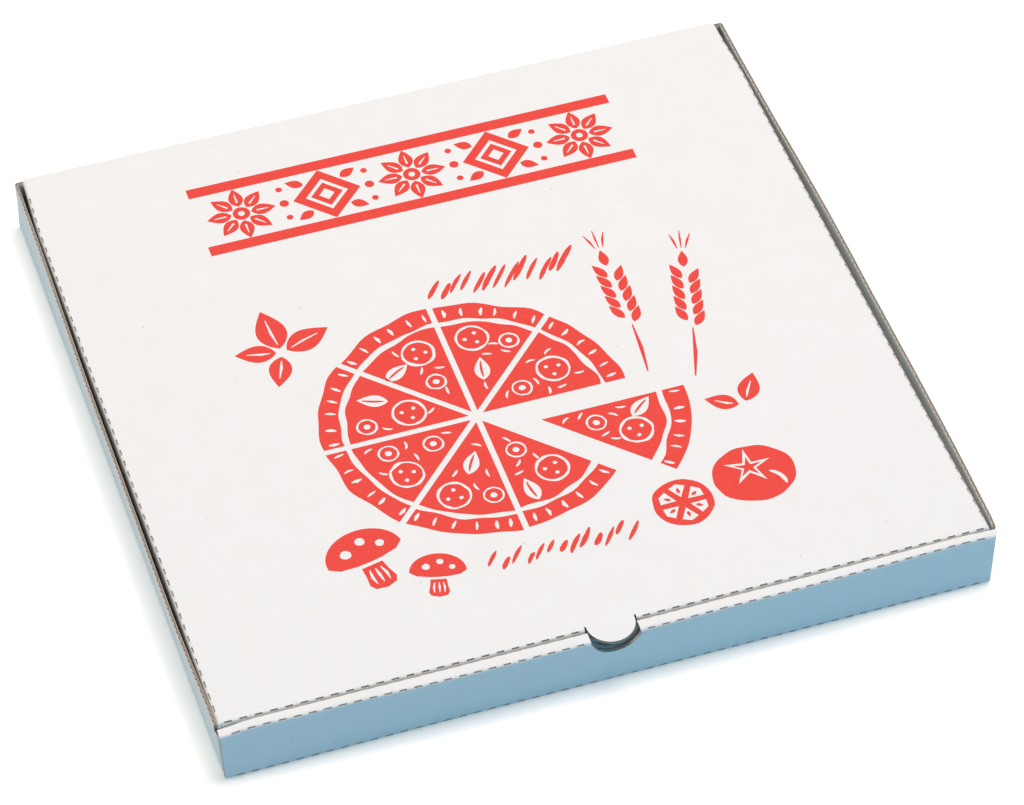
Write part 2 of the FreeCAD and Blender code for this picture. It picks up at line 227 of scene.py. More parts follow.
class Sheet:
    """Folded board: grids of outer points, each with its inner partner, welded where they meet."""

    def __init__(self, crushed_depths):
        self.crushed_depths = crushed_depths
        self.points = []
        self.found = {}
        self.faces = []
        self.crushed = []

    def point(self, outer, inner, flute, wear=0.0):
        key = tuple(round(value, 3) for value in outer)
        if key not in self.found:
            self.found[key] = len(self.points)
            self.points.append((Vector(outer), Vector(inner), flute, wear))
        return self.found[key]

    def grid(self, columns, rows, place, keep=None, plain=False, cut=None, sunk=None):
        """Adds one panel or fold. plain leaves its cut edges without open flutes.

        keep(u, v) says where there is board, and cut(u, v) where a crease cut goes in. sunk
        gives that cut's crushed core its own depths.
        """
        numbers = [[self.point(*place(u, v)) for v in rows] for u in columns]
        for i in range(len(columns) - 1):
            middle_u = (columns[i] + columns[i + 1]) / 2
            for j in range(len(rows) - 1):
                middle_v = (rows[j] + rows[j + 1]) / 2
                if keep and not keep(middle_u, middle_v):
                    continue
                corners = tuple(dict.fromkeys((numbers[i][j], numbers[i + 1][j],
                                               numbers[i + 1][j + 1], numbers[i][j + 1])))
                if cut and cut(middle_u, middle_v):
                    self.crushed.append((corners, sunk or self.crushed_depths))
                elif len(corners) > 2:
                    self.faces.append((corners, plain))

    def rims(self):
        """The cut edges: edges of one face only, with the way into the board from each."""
        owners = defaultdict(list)
        for corners, plain in self.faces:
            for start, end in zip(corners, corners[1:] + corners[:1]):
                owners[frozenset((start, end))].append((start, end, corners, plain))
        rims = []
        ways = defaultdict(list)
        for users in owners.values():
            if len(users) > 1:
                continue
            start, end, corners, plain = users[0]
            one, other = self.points[start][0], self.points[end][0]
            middle = sum((self.points[n][0] for n in corners), Vector()) / len(corners)
            way = middle - (one + other) / 2
            through_board = self.points[start][1] + self.points[end][1] - one - other
            for axis in ((other - one).normalized(), through_board.normalized()):
                way = way - axis * way.dot(axis)
            way = way.normalized()
            rims.append((start, end, plain))
            if not plain:
                ways[start].append(way)
                ways[end].append(way)
        inward = {}
        for number, found in ways.items():
            total = sum(found, Vector())
            if total.length < OPPOSED:
                inward[number] = found[0]
                continue
            unit = total.normalized()
            inward[number] = unit / max(SHARPEST_MITRE, unit.dot(found[0]))
        return rims, inward

    def build(self, name, materials):
        """Makes the closed mesh: both liners, the cut edges and the fluted core inside them."""
        verts, faces, slots, flutes, wears = [], [], [], [], []

        def vertex(place, flute, wear=0.0):
            verts.append(place * MM)
            flutes.append(flute)
            wears.append(wear)
            return len(verts) - 1

        def face(numbers, slot):
            faces.append(numbers)
            slots.append(slot)

        outer = [vertex(p[0], p[2], p[3]) for p in self.points]
        inner = [vertex(p[1], p[2], p[3]) for p in self.points]
        rims, inward = self.rims()
        rings, cores, chains = {}, {}, {}

        def ring(key, top, bottom, top_number, bottom_number, flute):
            if key not in rings:
                depth = bottom - top
                rings[key] = (top_number, vertex(top + depth * LINER_SHARE, flute),
                              vertex(bottom - depth * LINER_SHARE, flute), bottom_number)
            return rings[key]

        def core(key, top, bottom, way, flute):
            if key not in cores:
                depth = bottom - top
                upper, lower = top + depth * LINER_SHARE, bottom - depth * LINER_SHARE
                swing = 0.5 + FLUTE_SWING * math.sin(2 * math.pi * flute / FLUTE_PITCH)
                middle = upper + (lower - upper) * swing
                half = (lower - upper) * MEDIUM_HALF
                near = way * MEDIUM_START
                far = way * (FLUTE_DEPTH - MEDIUM_GAP)
                cores[key] = tuple(vertex(place, flute) for place in (
                    upper + way * FLUTE_DEPTH, lower + way * FLUTE_DEPTH,
                    middle - half + near, middle + half + near,
                    middle - half + far, middle + half + far))
            return cores[key]

        open_ends = defaultdict(int)
        for start, end, plain in rims:
            one, other = self.points[start], self.points[end]
            steps = 1
            if not plain:
                run = abs(one[2] - other[2])
                steps = max(1, math.ceil(run / FLUTE_PITCH * FLUTE_STEPS))
            keys = [start] + [(start, end, step) for step in range(1, steps)] + [end]
            row, hearts, top_chain, bottom_chain = [], [], [], []
            for step, key in enumerate(keys):
                share = step / steps
                top = one[0].lerp(other[0], share)
                bottom = one[1].lerp(other[1], share)
                flute = mixed(one[2], other[2], share)
                if step in (0, steps):
                    number = start if step == 0 else end
                    tops, bottoms = outer[number], inner[number]
                else:
                    tops, bottoms = vertex(top, flute), vertex(bottom, flute)
                    top_chain.append(tops)
                    bottom_chain.append(bottoms)
                row.append(ring(key, top, bottom, tops, bottoms, flute))
                if not plain:
                    way = inward[start].lerp(inward[end], share)
                    hearts.append(core(key, top, bottom, way, flute))
            chains[(start, end)] = (top_chain, bottom_chain)
            for step in range(steps):
                a, b = row[step], row[step + 1]
                face((a[0], b[0], b[1], a[1]), EDGE)
                face((a[2], b[2], b[3], a[3]), EDGE)
                if plain:
                    face((a[1], b[1], b[2], a[2]), EDGE)
                    continue
                c, d = hearts[step], hearts[step + 1]
                face((a[1], b[1], d[0], c[0]), HOLLOW)
                face((c[0], d[0], d[1], c[1]), HOLLOW)
                face((c[1], d[1], b[2], a[2]), HOLLOW)
                face((c[2], d[2], d[3], c[3]), EDGE)
                face((c[4], d[4], d[5], c[5]), EDGE)
                face((c[2], d[2], d[4], c[4]), EDGE)
                face((c[3], d[3], d[5], c[5]), EDGE)
            if not plain:
                open_ends[start] += 1
                open_ends[end] += 1
        # Where a fluted rim stops, its hollow is closed off.
        for number, count in open_ends.items():
            if count != 2:
                a, c = rings[number], cores[number]
                face((a[1], c[0], c[1], a[2]), HOLLOW)
                face((c[2], c[3], c[5], c[4]), EDGE)

        for corners, depths in self.crushed:
            shells = []
            for share in depths:
                shells.append([vertex(self.points[n][0].lerp(self.points[n][1], share),
                                      self.points[n][2]) for n in corners])
            top, bottom = shells
            face(tuple(top), EDGE)
            face(tuple(bottom), EDGE)
            for here in range(len(corners)):
                after = (here + 1) % len(corners)
                face((top[here], top[after], bottom[after], bottom[here]), EDGE)

        for corners, plain in self.faces:
            above, below = [], []
            for start, end in zip(corners, corners[1:] + corners[:1]):
                tops, bottoms = chains.get((start, end), ((), ()))
                above += [outer[start], *tops]
                below += [inner[start], *bottoms]
            face(tuple(above), OUTER_LINER)
            face(tuple(below), INNER_LINER)

        mesh = bpy.data.meshes.new(name)
        mesh.from_pydata(verts, [], faces)
        for material in materials:
            mesh.materials.append(material)
        mesh.polygons.foreach_set("material_index", slots)
        for label, values in (("flute", flutes), ("wear", wears)):
            mesh.attributes.new(label, "FLOAT", "POINT").data.foreach_set("value", values)
        work = bmesh.new()
        work.from_mesh(mesh)
        bmesh.ops.delete(work, geom=[v for v in work.verts if not v.link_faces], context="VERTS")
        bmesh.ops.recalc_face_normals(work, faces=work.faces)
        for item in work.faces:
            item.smooth = item.material_index in (OUTER_LINER, INNER_LINER)
        for edge in work.edges:
            if len({item.material_index for item in edge.link_faces}) > 1:
                edge.smooth = False
        work.to_mesh(mesh)
        work.free()
        return new_object(name, mesh)


def notch_edge(x):
    """Height of the notch's rim in the front wall."""
    rise = HEIGHT - FOLD - NOTCH_LOW
    radius = (NOTCH_HALF ** 2 + rise ** 2) / (2 * rise)
    return NOTCH_LOW + radius - math.sqrt(max(0.0, radius ** 2 - x * x))


# How the folded box has settled: the front wall's top and its foot bow out, and the side walls
# lean out, by so much at each of these places along the wall.
FRONT_BOW = ((-168, 0.2), (-125, 1.0), (-70, 2.0), (-5, 2.1), (60, 1.6), (168, -0.4))
FOOT_BOW = ((-168, 1.3), (-60, 0.7), (168, 0.9))
LEFT_LEAN = ((-163, 2.0), (-95, 3.2), (5, 2.7), (167, 0.8))
RIGHT_LEAN = ((-163.5, 2.7), (-152, 3.3), (-100, 3.85), (5, 3.4), (167, 0.5))
# How fast the top's bow dies away down the wall, and how much of it the ledge takes up.
BOW_CURVE = 1.3
BOW_TAKEN = 0.8
# How far the ledge's back fold is pulled forward, and how fast that dies away below it.
LEDGE_PULL = 0.45
PULL_CURVE = 6
# How far the ledge's ends lean out, at its front and at its back, and how close to the ends.
LEFT_END = (1.2, 1.0)
RIGHT_END = (1.3, 2.9)
END_CURVE = 14
# The inner front wall is pressed forward behind the notch: how far, how wide and from where up.
PINCH = 2.7
PINCH_WIDTH = 14
PINCH_FOOT = 4
# The left and right top corners sag: how far, and how wide. The whole top is a little uneven.
CORNER_SAG = (2.0, 0.7)
SAG_WIDTH = 9
UNEVEN_SAG = 0.18
# The side walls' raw top edges lie a little lower than the ledge, and are a little uneven.
WALL_DROP = 0.3
UNEVEN_WALL = 0.25


def sag(x, z):
    """How far the front wall, its ledge and the corner flaps below it have sunk."""
    height = max(0.0, z / HEIGHT)
    left = CORNER_SAG[0] * math.exp(-((x + HALF_WIDTH) / SAG_WIDTH) ** 2)
    right = CORNER_SAG[1] * math.exp(-((x - HALF_WIDTH) / SAG_WIDTH) ** 2)
    waves = UNEVEN_SAG * (1 + noise((x * 0.03, 4.0, 0.0)))
    return (left + right + waves) * height ** 3


def wall_top(side, y):
    """Height of a side wall's raw top edge."""
    return HEIGHT - WALL_DROP - UNEVEN_WALL * noise((side * 9.0, y * 0.035, 1.0))


def settled(place):
    """Moves a point of the rolled front wall to where the bowed wall has it."""
    x, y, z = place
    height = min(1.0, max(0.0, z / HEIGHT))
    depth = min(1.0, max(0.0, (y - FRONT) / (LEDGE_BACK - FRONT)))
    bow = through(FRONT_BOW, x) * height ** BOW_CURVE * (1 - BOW_TAKEN * depth)
    bow += LEDGE_PULL * depth * height ** PULL_CURVE
    bow += through(FOOT_BOW, x) * (1 - height) * min(1.0, 2 * z / FOLD) * (1 - depth)
    if depth == 1:
        rise = min(1.0, (z - PINCH_FOOT) / (HEIGHT - FOLD - PINCH_FOOT))
        bow += PINCH * math.exp(-(x / PINCH_WIDTH) ** 2) * max(0.0, math.sin(math.pi * rise))
    end = mixed(*(LEFT_END if x < 0 else RIGHT_END), depth)
    out = end * height * abs(x / WALL_END) ** END_CURVE
    return x + math.copysign(out, x), y - bow, z - sag(x, z)


def rolled(x, outer, inner, flute, wear=0.0):
    """A point of the rolled front wall, whose inner partner moves with it."""
    place = settled((x, *outer))
    partner = (place[0], inner[0] + place[1] - outer[0], inner[1] + place[2] - outer[1])
    return place, partner, flute, wear


def turned(centre, share, start, radius):
    """A point on a fold's round, in the plane across the fold."""
    angle = start + share * QUARTER
    return (centre[0] + radius * math.cos(angle), centre[1] + radius * math.sin(angle))


def eased(centre, share, start):
    """A point on a wall's fold, and its partner on the inside of the board."""
    return turned(centre, share, start, FOLD), turned(centre, share, start, FOLD - BOARD)


def tight(centre, share, start):
    """A point on a sharp fold's round, and its partner at the corner inside the fold."""
    reach = BOARD - TIGHT_FOLD + CORE_CORNER
    turn = start + (QUARTER / 2 if share >= 0 else -QUARTER / 2)
    diagonal = (math.copysign(reach, math.cos(turn)), math.copysign(reach, math.sin(turn)))
    core = (centre[0] - diagonal[0], centre[1] - diagonal[1])
    return turned(centre, share, start, TIGHT_FOLD), turned(core, share, start, CORE_CORNER)


def crease_wear(share):
    """How worn a fold is: most in the middle of its bend, and not at its ends."""
    return max(0.0, 1 - abs(share - 0.5) * 2.6)


def add_tray_side(sheet, side, leans, ys):
    """Adds one side wall of the tray with its foot and its two corner flaps."""
    heights = spread(0, 1, 8)

    def lean(y, z):
        return through(leans, y) * max(0.0, (z - FOLD) / (HEIGHT - FOLD))

    def foot(y, share):
        outer, inner = eased((HALF_WIDTH - FOLD, FOLD), share, -QUARTER)
        return ((side * outer[0], y, outer[1]), (side * inner[0], y, inner[1]), y,
                crease_wear(share))

    def wall(y, share):
        stepped = y < STEP_BACK - STEP_RUN / 2
        top = FLAP_TOP - sag(side * HALF_WIDTH, FLAP_TOP) if stepped else wall_top(side, y)
        z = mixed(FOLD, top, share)
        x = HALF_WIDTH + lean(y, z)
        return (side * x, y, z), (side * (x - BOARD), y, z), y

    sheet.grid(ys, BEND, foot, plain=True, cut=cuts(FLOOR_SIDE_DASHES))
    sheet.grid(merged(ys, [STEP_BACK - STEP_RUN], least=0.05), heights, wall)
    for near, sign in ((FLAP_FRONT, 1), (FLAP_BACK, -1)):
        add_corner_flap(sheet, side, lean, near, sign, heights)


def add_corner_flap(sheet, side, lean, near, sign, heights):
    """Adds a corner flap and its fold: sign is 1 at the front and -1 at the back."""
    centre_y = near + sign * FOLD

    def root(share):
        top = wall_top(side, centre_y)
        if sign > 0:
            top = FLAP_TOP - sag(side * HALF_WIDTH, FLAP_TOP)
        z = mixed(FOLD, top, share)
        return HALF_WIDTH + lean(centre_y, z) - FOLD, z

    def corner(turn, share):
        x, z = root(share)
        angle = turn * QUARTER
        places = [(side * (x + radius * math.cos(angle)),
                   centre_y - sign * radius * math.sin(angle), z)
                  for radius in (FOLD, FOLD - BOARD)]
        return *places, centre_y - sign * turn * FOLD * QUARTER

    def flap(along, share):
        x, z = root(share)
        if along > 0:
            distance = mixed(HALF_WIDTH, FLAP_END, along)
            slope = max(0.0, FLAP_SLOPE - (distance - FLAP_END))
            z = mixed(FLAP_FOOT + slope, FLAP_TOP - slope, share)
            x = mixed(x, FLAP_END, along)
            if sign > 0:
                z -= sag(side * x, z)
        flute = near - sign * (FOLD * (QUARTER - 1) + HALF_WIDTH - x)
        return (side * x, near, z), (side * x, near + sign * BOARD, z), flute

    sheet.grid([0.0, 0.33, 0.67, 1.0], heights, corner)
    sheet.grid([0.0, 0.03, 0.2, 0.4, 0.6, 0.8, 0.92, 0.96, 1.0], heights, flap)


def make_tray_sheet(materials):
    """Floor, walls, rolled front wall with its ledge, and the four corner flaps."""
    sheet = Sheet(TRAY_CRUSHED)
    lock_ends = [side * (LOCK_MIDDLE + way * (LOCK_HALF + air)) for side in (-1, 1)
                 for way in (-1, 1) for air in (0, LOCK_AIR)]
    notch = [NOTCH_HALF * math.sin(angle * QUARTER) for angle in spread(-1, 1, 22)]
    # A column any nearer to a lock tab's side than this would make slivers there.
    near_lock = 0.6
    base = [x for x in ends(LONG_DASHES)
            if not any(abs(x - lock) < near_lock for lock in lock_ends)]
    columns = merged(base, lock_ends, [-NOTCH_HALF, NOTCH_HALF], notch,
                     [-HALF_WIDTH + FOLD, -INNER_WALL_END, INNER_WALL_END, HALF_WIDTH - FOLD],
                     least=0.12)
    wide = [-WALL_END] + columns + [WALL_END]
    narrow = [x for x in columns if abs(x) <= INNER_WALL_END]
    low_y, high_y = FRONT + FOLD, BACK - FOLD
    first_y, last_y = FLAP_FRONT + FOLD, FLAP_BACK - FOLD
    lock_y = (LEDGE_BACK - BOARD - LOCK_AIR, STEP_BACK)
    rows = merged([low_y, lock_y[0], first_y, lock_y[1], last_y, high_y],
                  ends(FLOOR_SIDE_DASHES), least=0.1)

    def in_lock(x, y):
        return abs(abs(x) - LOCK_MIDDLE) < LOCK_HALF + LOCK_AIR and lock_y[0] < y < lock_y[1]

    sheet.grid(columns, rows, lambda x, y: ((x, y, 0), (x, y, BOARD), y),
               keep=lambda x, y: not in_lock(x, y))

    def beside_notch(x, share):
        return abs(x) > NOTCH_HALF

    def below_notch(x, share):
        return abs(x) < NOTCH_HALF

    def front_foot(x, share):
        outer, inner = eased((low_y, FOLD), -share, -QUARTER)
        return rolled(x, outer, inner, low_y - share * FOLD * QUARTER, crease_wear(share))

    sheet.grid(wide, FOOT_BEND, front_foot, plain=True, cut=cuts(LONG_DASHES, 0.76, 1.0),
               sunk=DEEP_CRUSHED)

    def front_wall(x, share):
        top = notch_edge(x) if abs(x) < NOTCH_HALF else HEIGHT - FOLD
        z = mixed(FOLD, top, share)
        return rolled(x, (FRONT, z), (FRONT + BOARD, z), FRONT - z)

    sheet.grid(wide, [0.0, FOOT_CUT], front_wall, plain=True,
               cut=cuts(LONG_DASHES, 0.0, FOOT_CUT), sunk=DEEP_CRUSHED)
    wall_rows = [FOOT_CUT] + spread(0, 1, 10)[1:]
    sheet.grid(wide, wall_rows, front_wall, beside_notch)
    sheet.grid(wide, wall_rows, front_wall, below_notch, plain=True)
    top_flute = FRONT - HEIGHT
    ledge_depth = LEDGE_BACK - FRONT

    def ledge_front(x, share):
        outer, inner = eased((low_y, HEIGHT - FOLD), -share, 2 * QUARTER)
        return rolled(x, outer, inner, top_flute + FOLD - share * FOLD * QUARTER,
                      crease_wear(share))

    sheet.grid(wide, BEND, ledge_front, beside_notch, plain=True, cut=cuts(LEDGE_DASHES))
    sheet.grid(wide, spread(low_y, LEDGE_BACK - TIGHT_FOLD, 2),
               lambda x, y: rolled(x, (y, HEIGHT), (y, HEIGHT - BOARD), top_flute - y + FRONT),
               beside_notch)

    def ledge_back(x, share):
        centre = (LEDGE_BACK - TIGHT_FOLD, HEIGHT - TIGHT_FOLD)
        outer, inner = tight(centre, -share, QUARTER)
        return rolled(x, outer, inner, top_flute - ledge_depth - share * FOLD * QUARTER,
                      crease_wear(share))

    sheet.grid(wide, BEND, ledge_back, beside_notch, plain=True, cut=cuts(LEDGE_DASHES))

    def inner_wall(x, share):
        top = notch_edge(x) if abs(x) < NOTCH_HALF else HEIGHT - TIGHT_FOLD
        locked = abs(abs(x) - LOCK_MIDDLE) <= LOCK_HALF + TOUCH
        z = mixed(top, LOCK_FOOT if locked else FLAP_FOOT, share)
        return rolled(x, (LEDGE_BACK, z), (LEDGE_BACK - BOARD, z),
                      top_flute - ledge_depth - HEIGHT + z)

    sheet.grid(narrow, spread(0, 1, 10), inner_wall, beside_notch)
    sheet.grid(narrow, spread(0, 1, 10), inner_wall, below_notch, plain=True)

    def back_foot(x, share):
        outer, inner = eased((high_y, FOLD), share, -QUARTER)
        return (x, *outer), (x, *inner), high_y + share * FOLD * QUARTER, crease_wear(share)

    sheet.grid(wide, BEND, back_foot, plain=True, cut=cuts(LONG_DASHES))
    sheet.grid(wide, spread(FOLD, HINGE_LINE, 6),
               lambda x, z: ((x, BACK, z), (x, BACK - BOARD, z), BACK + z))

    ys = [y for y in rows if first_y <= y <= last_y]
    add_tray_side(sheet, -1, LEFT_LEAN, ys)
    add_tray_side(sheet, 1, RIGHT_LEAN, ys)
    return sheet.build("tray_sheet", materials)


# How the lid has settled: how much wider it is on each side, at places from front to back.
LID_TAPER = ((-158, 2.4), (-60, 1.5), (20, 1.1), (130, 0.6), (168, -0.8))
# Its panel dips: how far in the middle, how far just inside the folds, and the dip's extent.
PANEL_DIP = 0.55
EDGE_DIP = 0.09
DIP_HALF_WIDTH = 164
DIP_MIDDLE = 4
DIP_HALF_DEPTH = 163
# How far the side flaps' lower edges lean in.
FLAP_LEAN = 2.1
# How far the front edge has moved forward, and how far back from it the board still moves.
LID_CREEP = 1.25
CREEP_REACH = 20
# A rounded corner reaches this far below its folds, and its inner liner is set in by this much.
CORNER_SKIRT = 2.4
CORNER_INSET = 0.4
# How far the thumb tab hangs down at its tip, and where the tip is.
TAB_DROOP = 0.45
TAB_TIP = -168.9


def lid_dip(x, y):
    """How far the lid's panel lies below its folds."""
    across = max(0.0, 1 - (x / DIP_HALF_WIDTH) ** 2)
    along = max(0.0, 1 - ((y - DIP_MIDDLE) / DIP_HALF_DEPTH) ** 2)
    start = min(1.0, 6 * min(across, along))
    waves = 1 + 0.5 * noise((x * 0.012, y * 0.012, 3.0))
    return start * (EDGE_DIP + PANEL_DIP * across * along * waves)


def widened(x, y, z):
    """Moves a point of the lid out or in to where the tapered lid has it."""
    share = x / LID_HALF
    lean = 0
    # Only the side flaps and their folds lie this far out.
    if abs(share) > 0.97:
        lean = FLAP_LEAN * max(0.0, (HEIGHT - FOLD - z) / (HEIGHT - LID_FLAP_FOOT))
    return x + through(LID_TAPER, y) * share - math.copysign(lean, x)


def lidded(outer, inner, flute, wear=0.0):
    """A point of the lid, whose inner partner moves with it."""
    shift = widened(*outer) - outer[0]
    dip = lid_dip(outer[0], outer[1]) if outer[2] > HEIGHT - 0.01 else 0.0
    height = (outer[2] - LID_FLAP_FOOT) / (HEIGHT - LID_FLAP_FOOT)
    creep = LID_CREEP * height * max(0.0, 1 - (outer[1] - LID_FRONT) / CREEP_REACH)
    return ((outer[0] + shift, outer[1] - creep, outer[2] - dip),
            (inner[0] + shift, inner[1] - creep, inner[2] - dip), flute, wear)


def add_lid_corner(sheet, side, first_y, bend):
    """Adds a front corner of the lid, where the side fold and the front fold meet in a round."""
    def corner(across, along):
        over, u = turned((LID_HALF - FOLD, 0), -across, QUARTER, FOLD)
        ahead, v = turned((-first_y, 0), -min(1.0, along), QUARTER, TIGHT_FOLD)
        z = HEIGHT - (FOLD - u) - (TIGHT_FOLD - v) - CORNER_SKIRT * max(0.0, along - 1)
        partner = (side * (over - CORNER_INSET * across),
                   -ahead + CORNER_INSET * min(1.0, along), z - BOARD)
        return lidded((side * over, -ahead, z), partner, first_y - along)

    sheet.grid(bend, SHARP_BEND + [2.0], corner, plain=True)


def add_lid_side(sheet, side, rows, bend, cut, sunk):
    """Adds a side fold of the lid, all along its edge, and the tuck flap below it."""
    def fold(y, share):
        outer, inner = eased((LID_HALF - FOLD, HEIGHT - FOLD), -share, QUARTER)
        return lidded((side * outer[0], y, outer[1]), (side * inner[0], y, inner[1]), y,
                      crease_wear(share))

    def flap(y, share):
        end = min(y - SIDE_FLAP_START, SIDE_FLAP_END - y)
        z = mixed(HEIGHT - FOLD, LID_FLAP_FOOT + max(0.0, LID_FLAP_SLANT - end), share)
        return lidded((side * LID_HALF, y, z), (side * (LID_HALF - BOARD), y, z), y)

    sheet.grid(rows, bend, fold, plain=True, cut=cut, sunk=sunk)
    flap_rows = [y for y in rows if SIDE_FLAP_START <= y <= SIDE_FLAP_END]
    sheet.grid(flap_rows, spread(0, 1, 10), flap)


def make_lid_sheet(materials):
    """Top panel with its thumb tab, the front tuck flap and the two side tuck flaps."""
    sheet = Sheet(LID_CRUSHED)
    tab_columns = [TAB_HALF * math.sin(angle * QUARTER) for angle in spread(-1, 1, 26)]
    panel_half = LID_HALF - FOLD
    slant_end = FRONT_FLAP_HALF - LID_FLAP_SLANT
    columns = merged(ends(LEDGE_DASHES), tab_columns, [-TAB_HALF - SLIT, TAB_HALF + SLIT],
                     [-slant_end, slant_end],
                     [-panel_half, -FRONT_FLAP_HALF, FRONT_FLAP_HALF, panel_half], least=0.05)
    first_y = LID_FRONT + TIGHT_FOLD
    rows = merged([first_y, SLIT_END, SIDE_FLAP_START,
                   SIDE_FLAP_START + LID_FLAP_SLANT, SIDE_FLAP_END - LID_FLAP_SLANT,
                   SIDE_FLAP_END, LID_HINGE_LINE], ends(LID_SIDE_DASHES), least=0.1)

    def panel(x, y):
        return lidded((x, y, HEIGHT), (x, y, HEIGHT - BOARD), y)

    def in_slit(x, y):
        return TAB_HALF < abs(x) < TAB_HALF + SLIT and y < SLIT_END

    sheet.grid(columns, rows, panel, lambda x, y: not in_slit(x, y))
    add_lid_corner(sheet, -1, first_y, EDGE_BEND)
    add_lid_corner(sheet, 1, first_y, OVER_BEND)

    def tab(x, share):
        root_x, root_y, root_z = panel(x, first_y)[0]
        reach = (root_y - TAB_TIP) * math.sqrt(max(0.0, 1 - (x / TAB_HALF) ** 2))
        y = root_y - share * reach
        z = root_z - TAB_DROOP * (share * reach / TAB_HALF) ** 2
        return (root_x, y, z), (root_x, y, z - BOARD), first_y - share * reach

    sheet.grid([x for x in columns if abs(x) <= TAB_HALF + TOUCH], spread(0, 1, 8), tab)

    def front_fold(x, share):
        outer, inner = tight((first_y, HEIGHT - TIGHT_FOLD), share, QUARTER)
        return lidded((x, *outer), (x, *inner), first_y - share * FOLD * QUARTER,
                      crease_wear(share))

    def on_front_fold(x, share):
        return abs(x) > TAB_HALF + SLIT

    sheet.grid(columns, SHARP_BEND, front_fold, on_front_fold, plain=True,
               cut=cuts(LEDGE_DASHES, 0.22, 0.78))

    def front_flap(x, share):
        hole = TAB_HALF + SLIT
        top = HEIGHT - TIGHT_FOLD
        if abs(x) < hole - TOUCH:
            depth = top - (HEIGHT - TAB_HALF)
            radius = (hole ** 2 + depth ** 2) / (2 * depth)
            top = top - depth + radius - math.sqrt(radius ** 2 - x * x)
        low = LID_FLAP_FOOT + max(0.0, abs(x) - FRONT_FLAP_HALF + LID_FLAP_SLANT)
        z = mixed(top, low, share)
        return lidded((x, LID_FRONT, z), (x, LID_FRONT + BOARD, z), first_y - HEIGHT + z)

    sheet.grid([x for x in columns if abs(x) <= FRONT_FLAP_HALF + TOUCH], spread(0, 1, 10),
               front_flap)

    add_lid_side(sheet, -1, rows, EDGE_BEND, cuts(LID_SIDE_DASHES, 0.22, 0.6), DEEP_CRUSHED)
    add_lid_side(sheet, 1, rows, OVER_BEND, cuts(LID_SIDE_DASHES, 0.15, 0.8), PIERCED)
    return sheet.build("lid_sheet", materials)


def make_hinge(materials):
    """The perforated crease along which the lid turns, continuous with wall and lid."""
    sheet = Sheet(TRAY_CRUSHED)
    half = LID_HALF - FOLD
    # A cut's end any nearer to the crease's end than this would make slivers there.
    near_end = 0.3
    inner_ends = [x for x in ends(LONG_DASHES) if abs(x) < half - near_end]
    columns = merged([-half, half], inner_ends, least=0.1)
    bend = spread(0, 1, 12)

    def crease(x, share):
        shift = widened(x, LID_HINGE_LINE, HEIGHT) - x
        if share < 0:
            outer, inner = (BACK, HINGE_LINE), (BACK - BOARD, HINGE_LINE)
        elif share > 1:
            outer, inner = (LID_HINGE_LINE, HEIGHT), (LID_HINGE_LINE, HEIGHT - BOARD)
        else:
            outer, inner = eased((BACK - FOLD, HEIGHT - FOLD), share, 0)
        dip = lid_dip(x, LID_HINGE_LINE) * min(1.0, max(0.0, share)) ** 2
        return ((x + shift, outer[0], outer[1] - dip), (x + shift, inner[0], inner[1] - dip),
                BACK + outer[1] - outer[0], crease_wear(share))

    sheet.grid(columns, [-1.0] + bend + [2.0], crease, plain=True, cut=cuts(LONG_DASHES))
    return sheet.build("hinge_crease", materials)


# The ink film: how far it stands above the liner and how far it is keyed into it.
INK_FILM = 0.03
INK_KEY = 0.03
# The film is cut into cells of this size over the printed area, so that it follows the dip.
PRINT_CELL = 8.0
PRINT_AREA = ((-104.0, 112.0), (-128.0, 144.0))
# The printed pizza: the turn of a slice in degrees and half the cut between two slices.
SLICE_TURN = 45
CUT_HALF = 1.3
# Where its sauce ends, its crust starts and the crust's bubbles lie, as shares of the radius.
SAUCE_END = 0.835
CRUST_START = 0.868
BUBBLE_RING = 0.93


def turned_points(points, x, y, turn=0.0, size=1.0):
    """Points drawn about the origin, sized, turned by degrees and moved to x, y."""
    c, s = math.cos(math.radians(turn)) * size, math.sin(math.radians(turn)) * size
    return [(x + c * u - s * v, y + s * u + c * v) for u, v in points]


def disc(x, y, radius, rough=0.0, count=40, squash=1.0):
    """A hand-cut disc, its edge rough by that many millimetres."""
    points = []
    for step in range(count):
        angle = 2 * math.pi * step / count
        reach = radius + rough * noise((math.cos(angle) * 2.1 + x * 0.3,
                                        math.sin(angle) * 2.1 + y * 0.3, radius))
        points.append((x + reach * math.cos(angle), y + reach * squash * math.sin(angle)))
    return points


def leaf(length, width, count=9):
    """A pointed leaf from the origin along X."""
    upper = [(length * step / count, width / 2 * math.sin(math.pi * (step / count) ** 0.8))
             for step in range(count + 1)]
    return upper + [(u, -v) for u, v in reversed(upper[1:-1])]


def stroke(points, width, taper=0.35):
    """The outline of a brush stroke along points, thinner at both ends."""
    left, right = [], []
    last = len(points) - 1
    for step, (x, y) in enumerate(points):
        before, after = points[max(0, step - 1)], points[min(last, step + 1)]
        run = Vector((after[0] - before[0], after[1] - before[1])).normalized()
        share = abs(2 * step / last - 1)
        half = width / 2 * (1 - (1 - taper) * share ** 3)
        half *= 1 + 0.25 * noise((x * 0.6, y * 0.6, width))
        left.append((x - run.y * half, y + run.x * half))
        right.append((x + run.y * half, y - run.x * half))
    start, end = points[0], points[-1]
    return left + [end] + right[::-1] + [start]


def curve(start, bend, end, steps=10):
    """Points on a smooth arc from start to end, pulled towards bend."""
    points = []
    for step in range(steps + 1):
        t = step / steps
        points.append(tuple((1 - t) ** 2 * a + 2 * t * (1 - t) * b + t * t * c
                            for a, b, c in zip(start, bend, end)))
    return points


